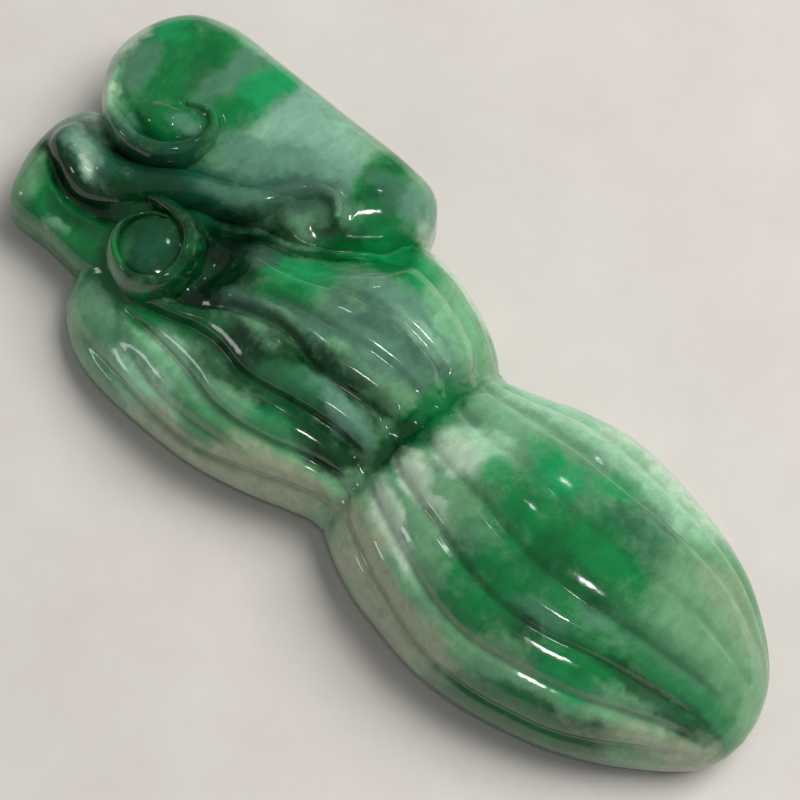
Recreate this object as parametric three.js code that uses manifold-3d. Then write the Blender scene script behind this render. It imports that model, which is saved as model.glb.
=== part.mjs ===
// Jade peanut carving: a pod of two ribbed lobes with its cut stalk, a vine that
// winds into a coil, and a ruyi head that scrolls in at one end. The real thing is
// one stone. Each carved form is a closed solid here, and they meet at the creases.
// Millimetres, +Z up. The carving lies on its flat back. X runs from the stalk to
// the tip, and +Y is the side of the ruyi head's straight edge.
import * as THREE from "three";
import { mergeVertices } from "three/addons/utils/BufferGeometryUtils.js";
import Module from "manifold-3d";

// Pod. Its datum is the middle of the waist, where the two lobes meet.
const lowerLength = 27.4; // waist to tip
const lowerWidth = 20.2;
const lowerHeight = 10.5;
const lowerSway = -0.65; // how far across the belly's axis lies from the waist's
const upperLength = 24.2; // waist to the end under the vine
const upperWidth = 20.4;
const upperHeight = 9.8;
const upperSway = 0.8;
const waistWidth = 14.9;
const waistHeight = 8.1;
const waistSlant = 0.1; // the waist's crease, along for each length across
const tipLift = 3.0; // the tip's height over the flat back
const endLift = 3.2;
const girthShare = 0.31; // of a section's height, where it is widest
const flatShare = 0.66; // of a section's width that lies flat

// Ruyi head: a plate with one straight edge and two round ends.
const ruyiLength = 23.9;
const ruyiWidth = 11.4;
const ruyiHeight = 7.4;
const ruyiRound = 2.5; // radius of its edges
const ruyiCrown = 0.4; // the face's own rise to its middle
const ruyiOverhang = 2.8; // straight edge past the upper lobe's belly
const ruyiReach = 7.9; // left end past the upper lobe's end

// Bed that the plate lies in, with a slope from the crease up to the pod's ribs.
const creaseHeight = 5.3; // of the crease along the plate's edge
const bedSlope = 1.15; // rise over run, away from the plate

// Hollow round the coil, where the pod's ribs begin.
const hollowWidth = 4.2;
const hollowDepth = 3.2;
const hollowTop = 8.6; // over the flat back
const hollowReach = 3.8; // along the pod
const hollowSpan = 6.4; // across the pod

// Scroll that the plate's left end winds into, and the hook at its right end.
const scrollReach = 7.3; // along the pod
const scrollSpan = 3.5; // across the pod
const scrollWidth = 3.2;
const scrollHeight = 3.4;
const scrollRise = 1.1; // over the plate's face
const hookWidth = 1.9;
const hookHeight = 2.2;
const hookRise = 0.75;
const hookReach = 3.9; // along the pod
const hookSpan = 3; // across the pod

// Stalk, cut square at the left end.
const stalkLength = 12.4;
const stalkWidth = 10.6;
const stalkHeight = 6.2;
const stalkRound = 2.1;
const stalkCrown = 0.6;
const stalkReach = 7.6; // its cut end past the upper lobe's end

// Vine: a band from the stalk to the hook, a coil, and the bud in the coil.
const bandWidth = 4;
const bandHeight = 4.4;
const bandRise = 0.9; // over the stalk's top
const bandReach = 13.4; // along the pod
const bandSpan = 6.6; // across the pod
const curlRadius = 2.6; // to the middle of the coil's rod
const curlRod = 1.3; // width of the rod
const curlHeight = 3.9;
const curlRise = 2.5; // over the stalk's top
const curlStart = 165; // degrees round the coil, where its rod leaves the band
const curlTurn = 325; // degrees that the rod winds
const budRadius = 1.6;
const budRise = 1.9; // over the stalk's top
const budHeight = 3.2;

const clearance = 0.3; // between two forms that meet in a crease

// Pod sections, as shares of the lobe's length, and of the belly's width, height and
// sway. Up to the belly, width and height grow from the waist's.
const lowerShares = [
  [0.0, 0.0, 0.0, 0.0],
  [0.05, 0.15, 0.2, 0.8],
  [0.14, 0.47, 0.58, 1.25],
  [0.22, 0.71, 0.83, 1.15],
  [0.35, 0.98, 1.0, 1.0],
];
const lowerTaperShares = [
  [0.48, 0.98, 0.98, 0.95],
  [0.6, 0.915, 0.91, 0.75],
  [0.69, 0.845, 0.82, 0.55],
  [0.78, 0.735, 0.7, 0.35],
  [0.85, 0.61, 0.57, 0.3],
  [0.915, 0.47, 0.42, 0.45],
  [0.96, 0.335, 0.27, 0.8],
  [0.99, 0.16, 0.12, 1.2],
  [1.0, 0.0, 0.0, 1.4],
];
const upperShares = [
  [0.0, 0.0, 0.0, 0.0],
  [0.05, 0.2, 0.24, 0.7],
  [0.12, 0.46, 0.58, 1.0],
  [0.24, 0.81, 0.93, 1.0],
  [0.4, 1.0, 0.97, 0.6],
];
const upperTaperShares = [
  [0.57, 0.99, 0.84, 0.3],
  [0.75, 0.905, 0.6, -0.4],
  [0.86, 0.78, 0.4, -1.0],
  [0.95, 0.56, 0.22, -1.7],
  [0.987, 0.32, 0.12, -2.0],
  [1.0, 0.0, 0.0, -2.1],
];

// Grooves between the ribs: how deep each is, and its degrees round the pod, 0 on top,
// at shares of the lobe's length. Some of the upper lobe's stop short of its end.
const grooveStations = [0.0, 0.12, 0.25, 0.4, 0.55, 0.7, 0.85, 1.0];
const lowerGrooves = [
  { depth: 0.35, degrees: [82, 80, 77, 75, 76, 78, 81, 84] },
  { depth: 0.5, degrees: [62, 59, 57, 54, 56, 60, 65, 70] },
  { depth: 0.55, degrees: [48, 44, 38, 35, 38, 43, 49, 54] },
  { depth: 0.55, degrees: [26, 20, 15, 12, 13, 15, 20, 26] },
  { depth: 0.75, degrees: [2, -2, -6, -11, -12, -10, -8, -6] },
  { depth: 0.8, degrees: [-17, -21, -26, -31, -31, -27, -27, -27] },
  { depth: 0.6, degrees: [-34, -38, -45, -50, -49, -47, -43, -42] },
  { depth: 0.45, degrees: [-56, -60, -67, -73, -75, -74, -66, -60] },
];
const upperGrooves = [
  { depth: 0.45, stop: 0.5, degrees: [76, 75, 73, 70, 70, 70, 70, 70] },
  { depth: 0.65, stop: 0.5, degrees: [54, 53, 52, 48, 46, 44, 42, 40] },
  { depth: 0.8, stop: 0.6, degrees: [27, 24, 21, 16, 12, 8, 5, 3] },
  { depth: 0.6, stop: 0.6, degrees: [9, 5, 2, 0, -3, -6, -8, -10] },
  { depth: 1.15, stop: 0.8, degrees: [-12, -14, -15, -9, -12, -18, -24, -26] },
  { depth: 1.15, stop: 0.86, degrees: [-34, -32, -32, -32, -27, -29, -32, -33] },
  { depth: 0.7, stop: 0.84, degrees: [-49, -50, -52, -50, -43, -38, -37, -38] },
  { depth: 0.45, stop: 0.88, degrees: [-68, -70, -73, -76, -73, -68, -64, -62] },
];

// Outlines, as shares of each form's own length and width, from its lower left.
const ruyiShares = [
  [0.15, 0.05],
  [0.055, 0.2],
  [0.005, 0.42],
  [0.02, 0.69],
  [0.09, 0.9],
  [0.2, 0.99],
  [0.36, 1.0],
  [0.6, 1.0],
  [0.83, 1.0],
  [0.925, 0.965],
  [0.975, 0.86],
  [0.995, 0.72],
  [0.975, 0.58],
  [0.9, 0.4],
  [0.77, 0.21],
  [0.6, 0.11],
  [0.44, 0.06],
  [0.28, 0.02],
];
const ruyiSpineShares = [
  [0.2, 0.56],
  [0.83, 0.67],
];
const stalkSpineShares = [
  [0.3, 0.55],
  [0.72, 0.38],
];
const stalkShares = [
  [0.13, 0.03],
  [0.04, 0.22],
  [0.0, 0.46],
  [0.02, 0.67],
  [0.09, 0.8],
  [0.22, 0.85],
  [0.38, 0.83],
  [0.6, 0.78],
  [0.83, 0.66],
  [0.98, 0.45],
  [1.0, 0.22],
  [0.88, 0.06],
  [0.68, 0.0],
  [0.4, 0.02],
];

// Routes, as shares of each run's reach along and across the pod, with the rod's
// fullness on the way as shares of its width and height.
const bandShares = [
  [0.0, 0.03],
  [0.12, 0.0],
  [0.28, 0.0],
  [0.45, 0.06],
  [0.6, 0.27],
  [0.76, 0.5],
  [0.9, 0.78],
  [1.0, 1.0],
];
const bandSwellShares = [0.55, 1.05, 1.1, 1.0, 0.95, 0.9, 0.85, 0.7];
const hollowShares = [
  [0.0, 1.0],
  [0.37, 0.91],
  [0.76, 0.75],
  [1.0, 0.52],
  [1.0, 0.27],
  [0.82, 0.0],
];
const hollowSwellShares = [0.3, 0.8, 1.0, 1.0, 0.8, 0.3];
const scrollShares = [
  [0.0, 0.95],
  [0.14, 0.42],
  [0.38, 0.08],
  [0.67, 0.0],
  [0.92, 0.2],
  [1.0, 0.6],
  [0.87, 0.95],
  [0.72, 0.97],
];
const scrollSwellShares = [0.3, 0.75, 1.0, 1.05, 1.0, 0.85, 0.6, 0.35];
const hookShares = [
  [0.0, 0.0],
  [0.2, 0.55],
  [0.45, 0.93],
  [0.75, 1.0],
  [0.98, 0.72],
  [0.92, 0.3],
];
const hookSwellShares = [0.6, 1.0, 1.05, 1.0, 0.85, 0.5];
const curlSwellShares = [0.7, 1.0, 1.05, 1.0, 0.7];

// Where forms lie along and across what carries them, the hook from the band's end in
// its own reach, and the hollow from the coil's middle in the coil's radius.
const scrollPlaceShares = [0.07, 0.16];
const stalkPlaceShare = 0.54;
const bandPlaceShares = [0.17, 0.54];
const curlPlaceShare = 0.77;
const hollowPlaceShares = [-0.18, -0.49];
const hookPlaceShares = [0.18, 0.75];

// How ribs and back run along a lobe: full ribs from here, a stretch over which a groove
// runs out, and fading ribs and a rising back over the last one.
const waistRibShare = 0.45;
const fullRibShare = 0.12;
const grooveFadeShare = 0.15;
const endShare = 0.2;
const ribMarks = [0, 0.25, 0.5, 0.75]; // points drawn from one groove to the next

// Places, from the waist's middle.
const endX = -upperLength;
const ruyiX = endX - ruyiReach;
const ruyiY = upperSway + upperWidth / 2 + ruyiOverhang - ruyiWidth;
const scrollX = ruyiX + ruyiLength * scrollPlaceShares[0];
const scrollY = ruyiY + ruyiWidth * scrollPlaceShares[1];
const stalkX = endX - stalkReach;
const stalkY = upperSway - stalkWidth * stalkPlaceShare;
const bandX = stalkX + stalkLength * bandPlaceShares[0];
const bandY = stalkY + stalkWidth * bandPlaceShares[1];
const curlX = bandX + bandReach * curlPlaceShare;
const curlY = bandY - curlRadius;
const budMiddle = stalkHeight + budRise - budHeight / 2;
const hollowX = curlX + curlRadius * hollowPlaceShares[0];
const hollowY = curlY + curlRadius * hollowPlaceShares[1];
const hookX = bandX + bandReach - hookReach * hookPlaceShares[0];
const hookY = bandY + bandSpan - hookSpan * hookPlaceShares[1];

const lobeSteps = 32;
const curveSteps = 3; // points drawn for each point of an outline
const bevelSteps = 4;
const rodSides = 12;
const rodSteps = 24;
const curlSteps = 32;
const faceRingShares = [0.35, 0.7]; // of the way from a plate's edge to its spine
const underTurns = [22.5, 45, 67.5, 90]; // degrees round a section's lower edge
const weld = 1e-4; // corners closer than this are one

const wasm = await Module();
wasm.setup();

function solidFrom(geometry) {
  const bare = geometry.index ? geometry.toNonIndexed() : geometry.clone();
  bare.deleteAttribute("normal");
  bare.deleteAttribute("uv");
  const merged = mergeVertices(bare, weld);
  return new wasm.Manifold(
    new wasm.Mesh({
      numProp: 3,
      vertProperties: merged.attributes.position.array,
      triVerts: new Uint32Array(merged.index.array),
    }),
  );
}

function geometryFrom(solid) {
  const mesh = solid.getMesh();
  const geometry = new THREE.BufferGeometry();
  geometry.setAttribute("position", new THREE.BufferAttribute(mesh.vertProperties, 3));
  geometry.setIndex(new THREE.BufferAttribute(mesh.triVerts, 1));
  geometry.computeVertexNormals();
  return geometry;
}

// A closed skin over rings of points, with a fan round a point at each end. Rings
// may run either way round: the faces are turned so that they point outwards.
function skin(rings, firstPoint, lastPoint) {
  const points = [firstPoint, ...rings.flat(), lastPoint];
  const sides = rings[0].length;
  const corners = [];
  const at = (ring, side) => 1 + ring * sides + (side % sides);
  for (let side = 0; side < sides; side += 1) {
    corners.push(0, at(0, side), at(0, side + 1));
    for (let ring = 0; ring < rings.length - 1; ring += 1) {
      corners.push(at(ring, side), at(ring + 1, side), at(ring + 1, side + 1));
      corners.push(at(ring, side), at(ring + 1, side + 1), at(ring, side + 1));
    }
    corners.push(points.length - 1, at(rings.length - 1, side + 1), at(rings.length - 1, side));
  }
  const geometry = new THREE.BufferGeometry().setFromPoints(points);
  geometry.setIndex(corners);
  const solid = solidFrom(geometry);
  if (solid.volume() > 0) return solid;
  geometry.setIndex(corners.reverse());
  return solidFrom(geometry);
}

// One section of the pod: a ribbed dome on a back whose edges are rounded under.
// Grooves run from +Y round to -Y, and each fades half way to the one beside it.
function podSection({ x, slant, middle, half, base, top, grooves }) {
  const girth = base + girthShare * (top - base);
  const marks = [{ degrees: 90, depth: 0 }, ...grooves, { degrees: -90, depth: 0 }];
  const ring = [];
  const draw = (degrees, depth) => {
    const turn = THREE.MathUtils.degToRad(degrees);
    ring.push([(half - depth) * Math.sin(turn), (top - girth - depth) * Math.cos(turn) + girth]);
  };
  for (let index = 0; index < marks.length - 1; index += 1) {
    const [from, to] = marks.slice(index, index + 2);
    for (const mark of ribMarks) {
      const depth = from.depth * Math.max(0, 1 - 2 * mark) ** 1.5 + to.depth * Math.max(0, 2 * mark - 1) ** 1.5;
      draw(THREE.MathUtils.lerp(from.degrees, to.degrees, mark), depth);
    }
  }
  draw(-90, 0);
  const flat = flatShare * half;
  const under = underTurns.map((angle) => {
    const turn = THREE.MathUtils.degToRad(angle);
    return [flat + (half - flat) * Math.cos(turn), base + (girth - base) * (1 - Math.sin(turn))];
  });
  ring.push(...under.map(([y, z]) => [-y, z]));
  ring.push(...under.reverse());
  return {
    ring: ring.map(([y, z]) => new THREE.Vector3(x + slant * y, middle + y, z)),
    core: new THREE.Vector3(x, middle, girth),
  };
}

// A lobe grows from the waist's section to its belly and tapers to its end.
function lobe({ length, width, height, sway, swell, taper, grooves, endHeight, way }) {
  const lines = grooves.map(({ depth, stop = Infinity, degrees }) => {
    const line = new THREE.CubicInterpolant(grooveStations, degrees, 1);
    return (run, ribbing) => ({
      degrees: line.evaluate(run)[0],
      depth: depth * ribbing * THREE.MathUtils.clamp((stop - run) / grooveFadeShare, 0, 1),
    });
  });
  const waist = { half: waistWidth / 2, top: waistHeight };
  const belly = { half: width / 2, top: height };
  const profile = new THREE.CatmullRomCurve3(
    [
      ...swell.map(([run, wide, high]) =>
        new THREE.Vector3(
          run * length,
          THREE.MathUtils.lerp(waist.half, belly.half, wide),
          THREE.MathUtils.lerp(waist.top, belly.top, high),
        ),
      ),
      ...taper.map(([run, wide, high]) =>
        new THREE.Vector3(run * length, wide * belly.half, THREE.MathUtils.lerp(endHeight, belly.top, high)),
      ),
    ],
    false,
    "centripetal",
  );
  const axis = new THREE.CatmullRomCurve3(
    [...swell, ...taper].map(([run, , , aside]) => new THREE.Vector3(run * length, aside * sway, 0)),
    false,
    "centripetal",
  );
  const sections = Array.from({ length: lobeSteps }, (_, step) => {
    const mark = profile.getUtoTmapping(step / lobeSteps);
    const { x, y: half, z: top } = profile.getPoint(mark);
    const run = x / length;
    const ending = Math.min(1, (1 - run) / endShare);
    const ribbing = THREE.MathUtils.lerp(waistRibShare, 1, Math.min(1, run / fullRibShare)) * ending;
    return podSection({
      x: way * x,
      slant: waistSlant * (1 - run) ** 4,
      middle: axis.getPoint(mark).y,
      half,
      base: endHeight * (1 - Math.sqrt(1 - (1 - ending) ** 2)),
      top,
      grooves: lines.map((at) => at(run, ribbing)),
    });
  });
  const rings = sections.map((section) => section.ring);
  const end = new THREE.Vector3(way * length, axis.getPoint(1).y, endHeight);
  return skin(rings, sections[0].core, end);
}

// An outline with a spoke from its spine to each of its points. Rings that are drawn
// in or out along the spokes never cross.
function spoked({ shares, spine, x, y, length, width, grown }) {
  const place = ([along, across]) => new THREE.Vector3(x + along * length, y + across * width, 0);
  const corners = shares.map(place);
  const edge = new THREE.CatmullRomCurve3(corners, true, "centripetal");
  const outline = edge.getPoints(corners.length * curveSteps).slice(0, -1);
  const keel = new THREE.Line3(...spine.map(place));
  const spokes = outline.map((point) => {
    const root = keel.closestPointToPoint(point, true, new THREE.Vector3());
    const arm = point.clone().sub(root);
    return { root, way: arm.clone().normalize(), reach: arm.length() + grown };
  });
  return {
    middle: keel.getCenter(new THREE.Vector3()),
    spokes,
    ringAt: (inset, height) =>
      spokes.map(({ root, way, reach }) => root.clone().addScaledVector(way, reach - inset).setZ(height)),
  };
}

// A plate with round edges, between a flat back and a slightly crowned face.
function plate({ low, high, round, crown, grown, ...outline }) {
  const { middle, spokes, ringAt } = spoked({ ...outline, grown });
  const quarter = Array.from({ length: bevelSteps + 1 }, (_, step) => (Math.PI / 2) * (step / bevelSteps));
  const under = quarter.map((turn) =>
    ringAt(round * (1 - Math.sin(turn)), low - grown + round * (1 - Math.cos(turn))),
  );
  const shoulder = high - crown + grown;
  const over = quarter.map((turn) =>
    ringAt(round * (1 - Math.cos(turn)), shoulder - round * (1 - Math.sin(turn))),
  );
  const face = faceRingShares.map((share) =>
    spokes.map(({ root, way, reach }) =>
      root
        .clone()
        .addScaledVector(way, (reach - round) * (1 - share))
        .setZ(shoulder + crown * (1 - (1 - share) ** 2)),
    ),
  );
  const back = middle.clone().setZ(low - grown);
  return skin([...under, ...over, ...face], back, middle.clone().setZ(high + grown));
}

// A rod along a level route, wider or higher than round, with closed round ends.
function rod({ route, swell, width, height, middle, grown, steps = rodSteps }) {
  const line = new THREE.CatmullRomCurve3(
    route.map(([x, y]) => new THREE.Vector3(x, y, middle)),
    false,
    "centripetal",
  );
  const fullness = new THREE.CatmullRomCurve3(
    swell.map((share) => new THREE.Vector3(share, 0, 0)),
    false,
    "catmullrom",
  );
  const up = new THREE.Vector3(0, 0, 1);
  const rings = [];
  for (let step = 0; step <= steps; step += 1) {
    const run = step / steps;
    const point = line.getPoint(run);
    const side = new THREE.Vector3().crossVectors(up, line.getTangent(run)).normalize();
    const share = fullness.getPoint(run).x;
    const half = (width / 2) * share + grown;
    const rise = (height / 2) * share + grown;
    rings.push(
      Array.from({ length: rodSides }, (_, index) => {
        const turn = (2 * Math.PI * index) / rodSides;
        return point
          .clone()
          .addScaledVector(side, half * Math.cos(turn))
          .addScaledVector(up, rise * Math.sin(turn));
      }),
    );
  }
  const overrun = (width / 4) * swell[0] + grown;
  const first = line.getPoint(0).addScaledVector(line.getTangent(0), -overrun);
  const last = line.getPoint(1).addScaledVector(line.getTangent(1), overrun);
  return skin(rings, first, last);
}

function lowerLobe() {
  return lobe({
    length: lowerLength,
    width: lowerWidth,
    height: lowerHeight,
    sway: lowerSway,
    swell: lowerShares,
    taper: lowerTaperShares,
    grooves: lowerGrooves,
    endHeight: tipLift,
    way: 1,
  });
}

function upperLobe() {
  return lobe({
    length: upperLength,
    width: upperWidth,
    height: upperHeight,
    sway: upperSway,
    swell: upperShares,
    taper: upperTaperShares,
    grooves: upperGrooves,
    endHeight: endLift,
    way: -1,
  });
}

const ruyiOutline = {
  shares: ruyiShares,
  spine: ruyiSpineShares,
  x: ruyiX,
  y: ruyiY,
  length: ruyiLength,
  width: ruyiWidth,
};

function ruyiHead(grown) {
  return plate({
    ...ruyiOutline,
    low: 0,
    high: ruyiHeight,
    round: ruyiRound,
    crown: ruyiCrown,
    grown,
  });
}

// The space over the plate's bed, which widens upwards, taken out of the upper lobe.
function ruyiBed() {
  const { middle, ringAt } = spoked({ ...ruyiOutline, grown: clearance });
  const rise = upperHeight - creaseHeight;
  const rings = [ringAt(0, creaseHeight), ringAt(-rise / bedSlope, upperHeight)];
  return skin(rings, middle.clone().setZ(creaseHeight), middle.clone().setZ(upperHeight));
}

// The hollow round the coil, taken out of the upper lobe.
function curlHollow() {
  return rod({
    route: hollowShares.map(([along, across]) => [
      hollowX + along * hollowReach,
      hollowY + across * hollowSpan,
    ]),
    swell: hollowSwellShares,
    width: hollowWidth,
    height: hollowDepth,
    middle: hollowTop,
    grown: 0,
  });
}

function ruyiScroll(grown) {
  return rod({
    route: scrollShares.map(([along, across]) => [
      scrollX + along * scrollReach,
      scrollY + across * scrollSpan,
    ]),
    swell: scrollSwellShares,
    width: scrollWidth,
    height: scrollHeight,
    middle: ruyiHeight + scrollRise - scrollHeight / 2,
    grown,
  });
}

function ruyiHook(grown) {
  return rod({
    route: hookShares.map(([along, across]) => [hookX + along * hookReach, hookY + across * hookSpan]),
    swell: hookSwellShares,
    width: hookWidth,
    height: hookHeight,
    middle: ruyiHeight + hookRise - hookHeight / 2,
    grown,
  });
}

function stalk(grown) {
  return plate({
    shares: stalkShares,
    spine: stalkSpineShares,
    x: stalkX,
    y: stalkY,
    length: stalkLength,
    width: stalkWidth,
    low: 0,
    high: stalkHeight,
    round: stalkRound,
    crown: stalkCrown,
    grown,
  });
}

function vineBand(grown) {
  return rod({
    route: bandShares.map(([along, across]) => [bandX + along * bandReach, bandY + across * bandSpan]),
    swell: bandSwellShares,
    width: bandWidth,
    height: bandHeight,
    middle: stalkHeight + bandRise - bandHeight / 2,
    grown,
  });
}

// The coil winds most of a turn, from the band's side round to the stalk. What gives
// way to it leaves its well open, from the bud's middle up to the belly's top.
function vineCurl(grown) {
  const route = Array.from({ length: curlSteps + 1 }, (_, step) => {
    const turn = THREE.MathUtils.degToRad(curlStart - (curlTurn * step) / curlSteps);
    return [curlX + curlRadius * Math.cos(turn), curlY + curlRadius * Math.sin(turn)];
  });
  const coil = rod({
    route,
    swell: curlSwellShares,
    width: curlRod,
    height: curlHeight,
    middle: stalkHeight + curlRise - curlHeight / 2,
    grown,
    steps: curlSteps,
  });
  if (!grown) return coil;
  const well = wasm.Manifold.cylinder(upperHeight - budMiddle, curlRadius, curlRadius, curlSteps);
  return coil.add(well.translate(curlX, curlY, budMiddle));
}

function vineBud(grown) {
  const sphere = new THREE.SphereGeometry(1, 20, 12);
  sphere.rotateX(Math.PI / 2);
  sphere.scale(budRadius + grown, budRadius + grown, budHeight / 2 + grown);
  sphere.translate(curlX, curlY, budMiddle);
  return solidFrom(sphere);
}

// The forms that stand over the pod, the proudest first, each with its colour. Each
// gives way, with the clearance, to those before it, and the upper lobe to them all.
const forms = [
  { name: "vine_bud", make: vineBud, colour: "#1c5f3d" },
  { name: "vine_curl", make: vineCurl, colour: "#1a6b3a" },
  { name: "ruyi_scroll", make: ruyiScroll, colour: "#0f8a3c" },
  { name: "ruyi_hook", make: ruyiHook, colour: "#2c7b58" },
  { name: "vine_band", make: vineBand, colour: "#2d5c48" },
  { name: "ruyi_head", make: ruyiHead, colour: "#4f9a6c" },
  { name: "stalk", make: stalk, colour: "#2f7d45" },
  {
    name: "upper_lobe",
    make: () => upperLobe().subtract(ruyiBed()).subtract(curlHollow()),
    colour: "#4d8a62",
  },
];

const carving = new THREE.Group();
function add(name, solid, colour) {
  const jade = new THREE.MeshStandardMaterial({ color: colour, roughness: 0.12, metalness: 0 });
  const form = new THREE.Mesh(geometryFrom(solid), jade);
  form.name = name;
  carving.add(form);
}

const before = [];
for (const { name, make, colour } of forms) {
  const cut = before.reduce((solid, earlier) => solid.subtract(earlier(clearance)), make(0));
  add(name, cut, colour);
  before.push(make);
}
add("lower_lobe", lowerLobe(), "#4b9a60"); // face to face with the upper lobe

// The origin goes under the middle of the whole carving.
carving.position.x = -(ruyiX + lowerLength) / 2;
carving.position.y = -(ruyiY + ruyiWidth + lowerSway - lowerWidth / 2) / 2;

export default carving;
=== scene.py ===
"""Looks of the jade peanut carving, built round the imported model.

The real thing is one piece of jadeite, carved and polished. Each carved form is a closed
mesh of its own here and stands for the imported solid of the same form: the two lobes of
the pod, the stalk, the ruyi head with its scroll and hook, and the vine with its coil
and bud. All of them ride on the one body.

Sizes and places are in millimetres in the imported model's frame: X runs from the stalk to
the tip, +Y is the side of the ruyi head's straight edge, and +Z is up out of the carving.
"""

import logging
import math
from collections.abc import Callable
from dataclasses import dataclass
from enum import Enum
from functools import partial

import bpy
import numpy as np
from bpy.types import ID, Material, Mesh, Node, NodeSocket, NodeTree, Object
from mathutils import Matrix, Vector


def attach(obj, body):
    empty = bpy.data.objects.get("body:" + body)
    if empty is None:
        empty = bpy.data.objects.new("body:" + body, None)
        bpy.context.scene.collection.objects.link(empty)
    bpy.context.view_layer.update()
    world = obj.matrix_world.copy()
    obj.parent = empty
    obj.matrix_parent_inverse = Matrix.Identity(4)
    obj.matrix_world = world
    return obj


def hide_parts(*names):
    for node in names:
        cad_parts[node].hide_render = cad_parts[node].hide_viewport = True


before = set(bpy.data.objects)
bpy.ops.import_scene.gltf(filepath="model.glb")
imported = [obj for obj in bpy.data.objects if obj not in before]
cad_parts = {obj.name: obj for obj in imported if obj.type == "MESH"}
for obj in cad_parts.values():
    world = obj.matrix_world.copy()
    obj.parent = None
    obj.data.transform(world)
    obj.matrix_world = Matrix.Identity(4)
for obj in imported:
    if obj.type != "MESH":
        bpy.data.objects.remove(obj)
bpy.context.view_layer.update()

MM = 0.001
BODY = "root"
ROD_MARKS = {
    "turn": "FLOAT_VECTOR",
    "spot": "FLOAT_VECTOR",
    "side": "FLOAT_VECTOR",
    "half_width": "FLOAT",
    "half_height": "FLOAT",
    "lean": "FLOAT",
}

Line = tuple[tuple[float, float], ...]
Source = Node | NodeSocket
Adder = Callable[..., Node]

log = logging.getLogger("jade_peanut")


# Curves and meshes


def through(points: np.ndarray, marks: np.ndarray) -> np.ndarray:
    """Gives places on the smooth curve that passes through all the points.

    Args:
        points: the curve's own points, one row each, of any dimension.
        marks: where along the curve, from 0 to 1, with an equal share for each span.

    Returns:
        One row for each mark.
    """
    own = np.asarray(points, float)
    spans = len(own) - 1
    full = np.vstack([2 * own[0] - own[1], own, 2 * own[-1] - own[-2]])
    place = np.clip(np.asarray(marks, float), 0, 1) * spans
    span = np.minimum(place.astype(int), spans - 1)
    share = (place - span)[:, None]
    a, b, c, d = (full[span + step] for step in range(4))
    ab, bc, cd = (
        np.sqrt(np.maximum(np.linalg.norm(end - start, axis=1, keepdims=True), 1e-9))
        for start, end in ((a, b), (b, c), (c, d))
    )
    leave = ((b - a) / ab - (c - a) / (ab + bc) + (c - b) / bc) * bc
    arrive = ((c - b) / bc - (d - b) / (bc + cd) + (d - c) / cd) * bc
    bend = 3 * (c - b) - 2 * leave - arrive
    twist = 2 * (b - c) + leave + arrive
    return b + share * (leave + share * (bend + share * twist))


def lengths_along(points: np.ndarray) -> np.ndarray:
    """Gives each point's distance along the line from its first point."""
    steps = np.linalg.norm(np.diff(points, axis=0), axis=1)
    return np.concatenate([[0], np.cumsum(steps)])


def resampled(points: tuple | np.ndarray, distances: np.ndarray) -> np.ndarray:
    """Gives rows at set distances along the smooth curve through the points.

    Args:
        points: the curve's points, one row each, of which x and y count towards its length.
        distances: how far along each wanted row lies, as shares of the whole length.

    Returns:
        One row for each distance.
    """
    fine = through(points, np.linspace(0, 1, 40 * len(points)))
    run = lengths_along(fine[:, :2])
    wanted = np.asarray(distances) * run[-1]
    return np.stack([np.interp(wanted, run, column) for column in fine.T], axis=1)


def spaced(points: tuple | np.ndarray, count: int) -> np.ndarray:
    """Gives evenly spaced rows along the smooth curve through the points."""
    return resampled(points, np.linspace(0, 1, count))


def eased(share: np.ndarray) -> np.ndarray:
    """Lets shares from 0 to 1 start and stop softly."""
    return share * share * (3 - 2 * share)


def new_object(name: str, data: ID) -> Object:
    """Makes an object from its data and puts it into the scene.

    Args:
        name: the object's name.
        data: its mesh, lamp or camera.

    Returns:
        The object.
    """
    made = bpy.data.objects.new(name, data)
    bpy.context.scene.collection.objects.link(made)
    return made


def closed_skin(
    name: str, rings: np.ndarray, first: np.ndarray, last: np.ndarray
) -> Object:
    """Makes a closed piece from rings of points, with a fan round a point at each end.

    Args:
        name: the piece's name.
        rings: points in millimetres, as rings by sides by three.
        first: the point that closes the first ring.
        last: the point that closes the last ring.

    Returns:
        The piece, with its faces outwards.
    """
    count, sides = rings.shape[:2]
    corners = np.vstack([first[None], rings.reshape(-1, 3), last[None]]) * MM
    side = np.arange(sides)
    after = (side + 1) % sides
    row = 1 + sides * np.arange(count - 1)[:, None]
    quads = np.stack([row + side, row + sides + side, row + sides + after, row + after], axis=-1)
    start = np.stack([np.zeros(sides, int), 1 + side, 1 + after], axis=-1)
    edge = 1 + sides * (count - 1)
    end = np.stack([np.full(sides, len(corners) - 1), edge + after, edge + side], axis=-1)
    mesh = bpy.data.meshes.new(name)
    mesh.from_pydata(corners.tolist(), [], start.tolist() + quads.reshape(-1, 4).tolist() + end.tolist())
    if signed_volume(mesh) < 0:
        mesh.flip_normals()
    mesh.shade_smooth()
    return new_object(name, mesh)


def signed_volume(mesh: Mesh) -> float:
    """Gives a closed mesh's volume, negative where its faces point inwards.

    Args:
        mesh: the mesh.

    Returns:
        The volume in cubic metres.
    """
    mesh.calc_loop_triangles()
    count = len(mesh.loop_triangles)
    corners = np.empty(3 * count, int)
    mesh.loop_triangles.foreach_get("vertices", corners)
    places = np.empty(3 * len(mesh.vertices))
    mesh.vertices.foreach_get("co", places)
    a, b, c = places.reshape(-1, 3)[corners.reshape(-1, 3)].transpose(1, 0, 2)
    return float(np.einsum("ij,ij->i", a, np.cross(b, c)).sum() / 6)


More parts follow.
